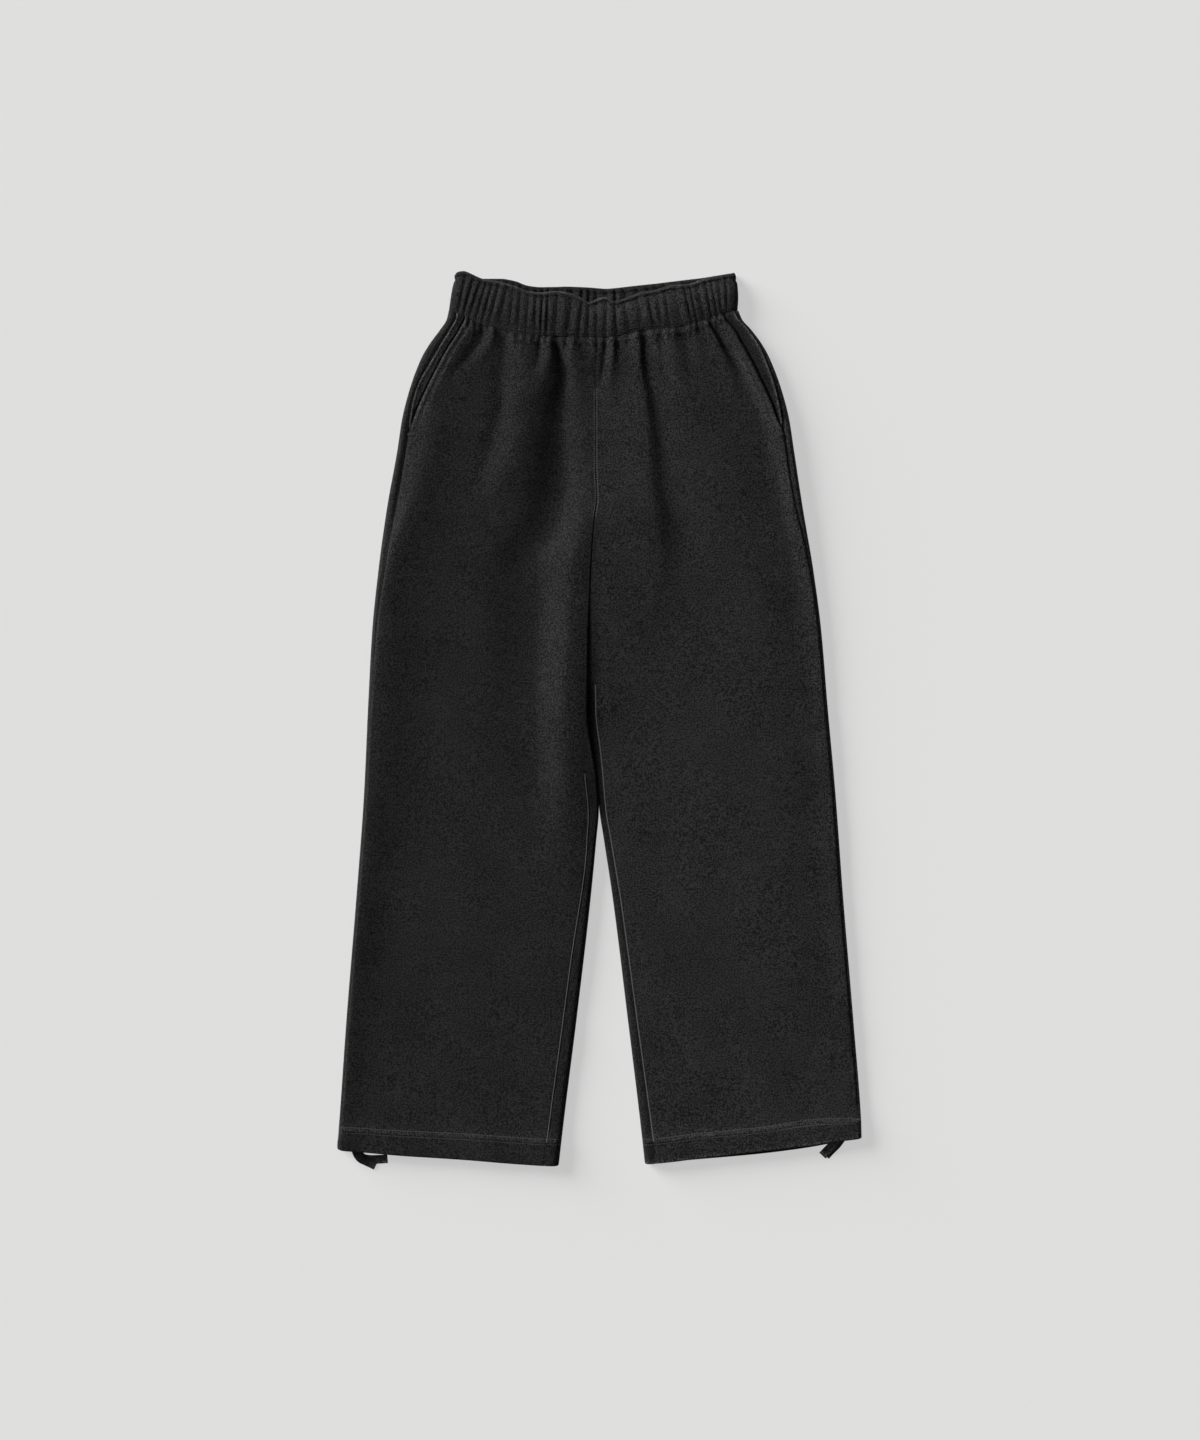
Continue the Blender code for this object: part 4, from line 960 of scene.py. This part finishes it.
def hem_tape(node, knots):
    """A free end of the drawcord tape: a flat ribbed strip along its knots."""
    path = along(knots, TAPE_STEPS)
    way = unit(np.gradient(path, axis=0))
    flat = unit(np.stack([-way[:, 1], way[:, 0], 0 * way[:, 0]], axis=-1))
    up = np.cross(flat, -way)
    up *= np.sign(up[:, 2:3])
    run = run_of(path)
    rib = RIB_HEIGHT * np.cos(2 * math.pi * run / RIB_PITCH)[:, None]
    thin = np.sqrt(np.maximum(1 - np.abs(TAPE_ACROSS) ** TAPE_SQUARENESS, TAPE_SIDE))[None, :]
    middle = path[:, None, :] + flat[:, None, :] * (TAPE_ACROSS * TAPE_WIDTH / 2)[None, :, None]
    lift = up[:, None, :] * ((TAPE_THICKNESS / 2 - RIB_HEIGHT + rib) * thin)[..., None]
    nap = line(np.abs(TAPE_ACROSS), *TAPE_EDGE_PAINTED_SHADE)[None, :] + line(run[-1] - run, *TAPE_END_LIGHTER)[:, None]
    made = shell("woven_" + node, middle + lift, middle - lift, nap=nap, sewn=False)
    finished(made, TAPE[node.split("_")[-1]], node)


for node, knots in TAPES.items():
    hem_tape(node, knots)


# ---------------------------------------------------------------- the panels

FRONT_SIDE_MARGINS = np.array([0, 0.35, 0.8, 1.4, 2.2, 3.2, 4.4, 5.6, 6.3, 6.9, 7.5, 8.3, 9.6, 11.4, 13.6])
FRONT_INSEAM_MARGINS = np.array([10, 8, 6.2, 4.8, 3.6, 2.6, 1.8, 1.1, 0.5, 0])
FRONT_COLUMNS = 104
CENTRE_SHARES = np.array([0.66, 0.33, 0.0])
BACK_TURNS = np.array([1, 0.93, 0.84, 0.74, 0.62, 0.5, 0.38, 0.27, 0.17, 0.08, 0.02])
FOOT_ANGLES = np.array([80.0, 64.0, 48.0, 32.0, 16.0, 0.0])
BACK_COLUMNS = 26


def evenly(start, end, count):
    """The places between start and end that part the way into count equal steps."""
    return start + (end - start) * np.arange(1, count) / count


def panel(side, levels, parts, absent):
    """A leg panel of the parts beside each other. absent gives the rows and columns of its missing cells."""
    points = np.concatenate(parts, axis=1)
    thick = smooth(LAY, "cloth", levels)[:, None] * np.ones(points.shape[:2])
    outer, inner = two_faces(points, thick, levels - levels[0])
    outer[..., 2] = np.maximum(outer[..., 2], 0.0)
    present = np.ones((len(levels) - 1, points.shape[1] - 1), bool)
    present[absent] = False
    return outer, inner, present, leg_painted_light(side, points)


def crotch_row(levels):
    return int(np.argmin(np.abs(levels - CROTCH_Y)))


def front_panel(side):
    def place(edge, seam, margins):
        return laid_out(side, levels, "front", lambda leg: leg.across(edge, getattr(leg, seam) + margins))

    def between(leg):
        start = leg.across("outer", leg.front_seam + FRONT_SIDE_MARGINS[-1])
        end = leg.across("inner", leg.inseam + FRONT_INSEAM_MARGINS[0])
        return evenly(start, end, FRONT_COLUMNS)

    levels = panel_levels(side)
    parts = [
        place("outer", "front_seam", FRONT_SIDE_MARGINS),
        laid_out(side, levels, "front", between),
        place("inner", "inseam", FRONT_INSEAM_MARGINS),
        laid_out(side, levels, "front", lambda leg: leg.across("inner", leg.inseam * CENTRE_SHARES)),
    ]
    return panel(side, levels, parts, np.s_[:crotch_row(levels), -len(CENTRE_SHARES):])


def back_panel(side):
    def foot(leg, edge, angles):
        flat = (leg.level > CROTCH_Y) & (edge == "inner")
        turn = 1 - np.sin(np.radians(angles))
        return leg.across(edge, np.where(flat, 0.0, smooth(FOOT_ROLL, edge, leg.level) * turn))

    def turned(edge, angles):
        rise = FOOT_HEIGHT * (1 - np.cos(np.radians(angles)))
        return laid_out(side, levels, "back", lambda leg: foot(leg, edge, angles), lambda leg: rise)

    def floor(leg):
        return evenly(foot(leg, "outer", np.zeros(1)), foot(leg, "inner", np.zeros(1)), BACK_COLUMNS)

    def outer_strip(leg):
        return leg.across("outer", leg.back_seam * BACK_TURNS)

    def inner_strip(leg):
        return leg.across("inner", (leg.inseam - SEAM_GAP) * BACK_TURNS[::-1])

    levels = panel_levels(side)
    parts = [
        laid_out(side, levels, "front", outer_strip),
        turned("outer", FOOT_ANGLES),
        laid_out(side, levels, "back", floor, lambda leg: 0.0),
        turned("inner", FOOT_ANGLES[::-1]),
        laid_out(side, levels, "front", inner_strip),
    ]
    centre = len(BACK_TURNS) + len(FOOT_ANGLES) + BACK_COLUMNS - 1
    return panel(side, levels, parts, np.s_[crotch_row(levels):, centre:])


# The facing's columns, as shares of the way from the back's seam to the front's.
FACING_SHARES = np.array([0, 0.025, 0.055, 0.09, 0.13, 0.17, 0.22, 0.28, 0.34, 0.42, 0.52, 0.62, 0.71, 0.79,
                          0.86, 0.92, 0.97, 1])
FACING_FROM = 307.0
# How far below the waist seam the facing's rows are closer, and their steps below that and above it.
FACING_ROWS = (10.0, 2.4, 1.2)
FACING_THICKNESS = 2.2
FACING_MARGIN = 0.2
FACING_RISE = 0.2
# The facing's edge along the side seam, its bead and its tuck: height, place of the bead alone, and width.
FACING_EDGE = {"right": (1.2, 2.0), "left": (1.6, 1.5)}
FACING_BEAD = {"right": (0.7, 1.7, 2.2), "left": (1.4, 2.0, 1.3)}
FACING_TILT = {"right": 0.3, "left": 0.6}
FACING_TUCK = {"right": (1.1, 2.6), "left": (3.2, 4.2)}
# How far up from its foot the facing opens, and how far below the front the foot lies.
FACING_OPENS = 24.0
FACING_FOOT_DEPTH = 2.0
# Below this height the bead's painted highlight is only a share of itself, and it grows to the whole over
# this far above it.
BEAD_FADES_OVER = (330.0, 50.0)


def pocket_facing(side):
    top = waist_level(side)
    near, step, close_step = FACING_ROWS
    levels = np.array(spread(FACING_FROM, top - near, step) + spread(top - near, top, close_step) + [top])
    share = FACING_SHARES

    def columns(leg):
        seams = (leg.back_seam + FACING_MARGIN) * (1 - share) + (leg.front_seam - FACING_MARGIN) * share
        return leg.across("outer", seams)

    def height(leg):
        """A bead along the side seam, a tilted plane, and a tuck under the front's edge."""
        x = columns(leg)
        run = (leg.front_seam - leg.back_seam) * share
        left = (leg.front_seam - leg.back_seam) * (1 - share)
        opened = ease((leg.level - levels[0]) / FACING_OPENS)
        z = leg.height(x) + FACING_RISE - FACING_TILT[side] * share * (2 - share)
        z += line(run, *FACING_BEAD[side]) - fall(run, *FACING_EDGE[side])
        tuck, width = FACING_TUCK[side]
        z -= tuck * ease(1 - left / width) * opened
        z -= (1 - opened) * FACING_FOOT_DEPTH
        return z - fall(below_waist(x, leg.y), *WAIST_FALL)

    points = laid_out(side, levels, "front", columns, height)
    outer, inner = two_faces(points, np.full(points.shape[:2], FACING_THICKNESS))
    # The facing's painted light: a painted highlight on its bead, weaker lower down, over a plane painted
    # lighter at the bead and darker towards the tuck.
    nap = LEG_PAINTED_LIGHT[side]
    leg = Leg(side, points[..., 1], levels[:, None])
    run = leg.in_from("outer", points[..., 0]) - leg.back_seam
    start, over = BEAD_FADES_OVER
    bead = line(run, nap["bead"], *FACING_BEAD[side][1:])
    bead *= grown(nap["bead_fades"], (levels[:, None] - start) / over)
    at_bead, at_tuck = nap["facing"]
    return outer, inner, None, bead + at_bead + (at_tuck - at_bead) * share


# Where each pleat has its columns, from one valley to the next.
PLEAT_SAMPLES = np.array([-0.5, -0.47, -0.42, -0.36, -0.28, -0.19, -0.1, 0, 0.1, 0.19, 0.28, 0.36, 0.42,
                          0.47])
BAND_MARGINS = np.array([0, 0.4, 0.9, 1.6, 2.5, 3.6])
BAND_ROWS = np.array([
    0, 0.008, 0.02, 0.035, 0.055, 0.08, 0.11, 0.15, 0.19, 0.24, 0.29, 0.34, 0.39, 0.44, 0.49, 0.54, 0.59,
    0.64, 0.69, 0.73, 0.765, 0.79, 0.81, 0.825, 0.84, 0.85, 0.86, 0.87, 0.885, 0.9, 0.915, 0.93, 0.945,
    0.96, 0.972, 0.982, 0.99, 0.996, 1])
PLEAT_SWELL = 0.55
BACK_PLEATS = 0.9
# The valleys between pleats: how sharp they are, how much of them is a plain wave instead, and their depth.
VALLEY_POWER = 2.3
ROUND_VALLEYS = 0.45
VALLEY_DEPTH = 0.35
BAND_FOLD = (1.8, 0.1)
# How much of the pleats is left at the waist seam, and the share of the band that they fade over.
PLEATS_AT_SEAM = table("x share", (
    (-170, 0.8), (-128, 0.7), (-110, 0.25), (-74, 0.25), (-60, 0.9), (20, 1), (45, 0.7), (62, 0.3),
    (92, 0.4), (108, 0.9), (150, 0.9),
))
PLEATS_FADE = 0.34


def gathers():
    """The band's columns between its ends: each one's x at the seam and at the top, and its swell."""
    pleats = {"place": np.arange(len(PLEATS["top"]), dtype=float), **PLEATS}
    place = (np.arange(len(PLEATS["top"]))[:, None] + PLEAT_SAMPLES[None, :]).ravel()
    place = place[(place >= 0) & (place <= len(PLEATS["top"]) - 1)]
    off = place - np.round(place)
    height, low, high = (PLEATS["height"][at(place).astype(int)] for at in (np.round, np.floor, np.ceil))
    pillow = (1 - np.abs(2 * off) ** VALLEY_POWER) * (1 - ROUND_VALLEYS)
    pillow += (0.5 + 0.5 * np.cos(2 * math.pi * off)) * ROUND_VALLEYS
    swell = height * pillow - VALLEY_DEPTH * np.minimum(low, high) * (1 - pillow)
    return smooth(pleats, "seam", place), smooth(pleats, "top", place), swell


def waistband(half):
    """One half of the waistband: a folded casing, gathered into pleats by the elastic in it."""
    n = len(BAND_MARGINS)
    seam_x, top_x, swell = gathers()
    right, left = BAND_ENDS["right"], BAND_ENDS["left"]
    seam_x = np.concatenate([right[0] + BAND_MARGINS, seam_x, left[0] - BAND_MARGINS[::-1]])
    top_x = np.concatenate([right[-1] + BAND_MARGINS, top_x, left[-1] - BAND_MARGINS[::-1]])
    swell = np.pad(swell, n)
    up = BAND_ROWS[:, None]
    x = seam_x + (top_x - seam_x) * up
    low = smooth(WAIST, half + "_seam", seam_x) + WAIST_GAP / 2
    high = smooth(WAIST, half + "_top", top_x)
    y = low + (high - low) * up
    right, left = smooth(BAND_ENDS, "right", up), smooth(BAND_ENDS, "left", up)
    x[:, :n] = right + BAND_MARGINS
    x[:, -n:] = left - BAND_MARGINS[::-1]
    from_end = np.minimum(x - right, left - x)
    over = rounded(from_end, BAND_ROLL)
    swell = swell * grown(smooth(PLEATS_AT_SEAM, "share", seam_x), up / PLEATS_FADE)
    if half == "front":
        top = smooth(BAND_PROFILE, "top", up) + PLEAT_SWELL * smooth(BAND_PROFILE, "pleat", up) * swell
        top = FRONT_BAND_EDGE + (top - FRONT_BAND_EDGE) * over
        under = smooth(BAND_PROFILE, "under", up) + 0 * x
    else:
        top = smooth(BAND_PROFILE, "back_top", up) + BACK_PLEATS * swell * smooth(BAND_PROFILE, "pleat", up)
        top = top - BACK_BAND_SLOPE * (1 - over)
        under = smooth(BAND_PROFILE, "back_under", up) + BACK_BAND_EDGE * (1 - over)
    # The top edge is a fold, and closes in a half round.
    middle, half_height = (top + under) / 2, (top - under) / 2
    share = np.maximum(rounded(y[-1:] - y, BAND_FOLD[0]), BAND_FOLD[1])
    outer = np.stack([x, y, middle + half_height * share], axis=-1)
    inner = np.stack([x, y, middle - half_height * share], axis=-1)
    # The band's painted light and shade: the left side lighter, the front lighter and the back darker,
    # painted shade at its ends, and on the front a painted highlight and shade along the rim and painted
    # shade along the seam.
    nap = LEG_PAINTED_LIGHT["left"]["all"] * ease(x / BAND_LEG_TO_LEG + 0.5) + BAND_PAINTED_LIGHT[half]
    nap = nap + line(from_end, *BAND_END_PAINTED_SHADE)
    if half == "front":
        rim = smooth(RIM_PAINTED_LIGHT, "nap", x)
        off, lighter, darker = RIM_PAINTED_LIGHT_PLACE
        nap = nap + line(y[-1:] - y, rim, off, np.where(rim > 0, lighter, darker))
        nap += line(y - y[:1], *SEAM_PAINTED_SHADE["band"])
    return outer, inner, None, nap


SHAPES = {"back_": back_panel, "front_": front_panel, "pocket_facing_": pocket_facing}


def dress(node, shape):
    finished(shell("fleece_" + node, *shape), FLEECE, node)


for side in SIDE_SIGN:
    for kind, shape_of in SHAPES.items():
        dress(kind + side, shape_of(side))
for half in ("back", "front"):
    dress("waistband_" + half, waistband(half))


# ---------------------------------------------------------------- stitching

points, polygons, first = [], [], 0
for grid, quads in surfaces:
    points.append(grid)
    polygons += (quads + first).tolist()
    first += len(grid)
top_surface = BVHTree.FromPolygons(np.concatenate(points).tolist(), polygons)
# Above all the cloth.
HIGH = 60.0


def drop(x, y):
    """Where a straight line down at (x, y) meets the cloth, and the cloth's normal there."""
    place, normal, _, _ = top_surface.ray_cast((x, y, HIGH), (0, 0, -1))
    if place is None:
        return None
    return np.array(place), np.array(normal if normal.z > 0 else -normal)


RINGS = np.array([-1.0, -0.82, -0.4, 0.4, 0.82, 1.0])
RING_SIZE = np.array([0.15, 0.72, 1.0, 1.0, 0.72, 0.15])
SEGMENTS = 6


def template():
    """A stitch of unit size: its points along, across and up, and its faces."""
    turn = 2 * math.pi * np.arange(SEGMENTS) / SEGMENTS
    shape = [(u, s * math.cos(a), s * math.sin(a)) for u, s in zip(RINGS, RING_SIZE) for a in turn]
    quads = []
    last = (len(RINGS) - 1) * SEGMENTS
    for ring in range(0, last, SEGMENTS):
        for k in range(SEGMENTS):
            j = (k + 1) % SEGMENTS
            quads.append((ring + k, ring + j, ring + SEGMENTS + j, ring + SEGMENTS + k))
    fans = [(0, k + 1, k) for k in range(1, SEGMENTS - 1)]
    fans += [(last, last + k, last + k + 1) for k in range(1, SEGMENTS - 1)]
    return np.array(shape), np.array(quads), np.array(fans)


SHAPE, QUADS, FANS = template()
# Each kind of stitch: the way from one to the next, its length, width and height, how far its middle is
# lifted off the cloth, and how many degrees it turns from the seam's way.
STITCHES = {
    "centre": (2.7, 2.1, 0.75, 0.5, 0.1, 0.0), "inseam": (1.7, 1.9, 1.3, 0.7, 0.15, 12.0),
    "plain": (2.8, 2.2, 0.8, 0.55, 0.1, 0.0), "pocket": (2.8, 2.2, 0.75, 0.5, 0.1, 0.0),
    "tack": (0.9, 3.4, 0.8, 0.7, 0.3, 80.0),
}
LOOK_AHEAD = 0.6


def stitch_row(kind, x, y):
    """Stitches on the cloth along the path through the points (x, y), each as its centre and half-axes."""
    pitch, length, width, height, lift, turn = STITCHES[kind]
    path = np.stack([x, y], axis=-1)
    run = run_of(path)
    rows = []
    for at in np.arange(pitch / 2, run[-1], pitch):
        x, y = (np.interp(at, run, path[:, k]) for k in (0, 1))
        around = [max(at - LOOK_AHEAD, 0), min(at + LOOK_AHEAD, run[-1])]
        way_x, way_y = (np.diff(np.interp(around, run, path[:, k]))[0] for k in (0, 1))
        found = drop(x, y)
        if found is None:
            continue
        centre, normal = found
        c, s = math.cos(math.radians(turn)), math.sin(math.radians(turn))
        way = unit(np.array([way_x * c - way_y * s, way_x * s + way_y * c, 0.0]))
        way = unit(way - normal * way.dot(normal))
        side = np.cross(normal, way)
        rows.append((centre + normal * lift, way * length / 2, side * width / 2, normal * height / 2))
    return rows


def stitching(name, rows, thread_material):
    """A piece of thread of all the stitches in rows."""
    centres = np.array([r[0] for r in rows])
    axes = np.array([r[1:] for r in rows])
    verts = centres[:, None, :] + np.einsum("mk,nkd->nmd", SHAPE, axes)
    offset = (np.arange(len(rows)) * len(SHAPE))[:, None, None]
    faces = [(QUADS[None] + offset).reshape(-1, 4), (FANS[None] + offset).reshape(-1, 3)]
    made = mesh_object("stitching_" + name, verts.reshape(-1, 3), faces, sharp=STITCH_SHARP)
    return finished(made, thread_material)


# The rows of stitches: each one's two ends and how far its path's points are apart, and how far off their
# seam the rows lie. The inseam's ends are above the hem and below where the inseam shows.
CENTRE_ENDS = (CROTCH_Y + 3, 363.0, 3.0)
CENTRE_OFFSETS = (-1.5, 1.5)
INSEAM_ENDS = (26.0, 10.0, 4.0)
INSEAM_OFFSET = 0.5
HEM_ENDS = {"right": (-284.0, -43.0, 3.0), "left": (47.0, 284.0, 3.0)}
WAIST_ENDS = (-158.0, 146.0, 2.0)
WAIST_OFFSETS = (1.6, 4.2)
POCKET_ENDS = (309.0, 446.0, 2.0)
POCKET_STOPS_BELOW = 2.0
TACK_PLACE = (3.5, 2.0)
TACK_HALF = 3.5

y = np.arange(*CENTRE_ENDS)
rows = sum((stitch_row("centre", smooth(INNER, "left", y) + off, y) for off in CENTRE_OFFSETS), [])
sewn = {"left": [stitching("centre_front", rows, THREAD)], "right": []}

for side, sign in SIDE_SIGN.items():
    up, down, step = INSEAM_ENDS
    y = np.arange(hem_level(side) + up, INSEAM_SHOWS_BELOW[side] - down, step)
    in_by = smooth(INSEAM, side, y) + INSEAM_OFFSET + SEAM_GAP / 2
    rows = stitch_row("inseam", smooth(INNER, side, y) + sign * in_by, y)
    sewn[side].append(stitching("inseam_" + side, rows, THREAD))

for side, ends in HEM_ENDS.items():
    x = np.arange(*ends)
    y = smooth(HEM, "front", x) + smooth(HEM, "stitch", x)
    rows = sum((stitch_row("plain", x, y + needle) for needle in (-HEM_NEEDLES, HEM_NEEDLES)), [])
    sewn[side].append(stitching("hem_" + side, rows, HEM_THREAD))

x = np.arange(*WAIST_ENDS)
rows = sum((stitch_row("plain", x, smooth(WAIST, "front_seam", x) + up) for up in WAIST_OFFSETS), [])
sewn["waist"] = [stitching("waist", rows, BLACK_THREAD)]

for side, sign in SIDE_SIGN.items():
    y = np.arange(*POCKET_ENDS)
    x = smooth(OUTLINE, side, y) - sign * (smooth(SIDE_SEAM, "front_" + side, y) + POCKET_GROOVE[side][1])
    below = below_waist(x, y) > POCKET_STOPS_BELOW
    rows = stitch_row("pocket", x[below], y[below])
    foot_x, foot_y = x[0] + sign * TACK_PLACE[0], y[0] + TACK_PLACE[1]
    rows += stitch_row("tack", foot_x + TACK_HALF * np.array([-1, 1]), np.array([foot_y, foot_y]))
    sewn[side].append(stitching("pocket_" + side, rows, BLACK_THREAD))
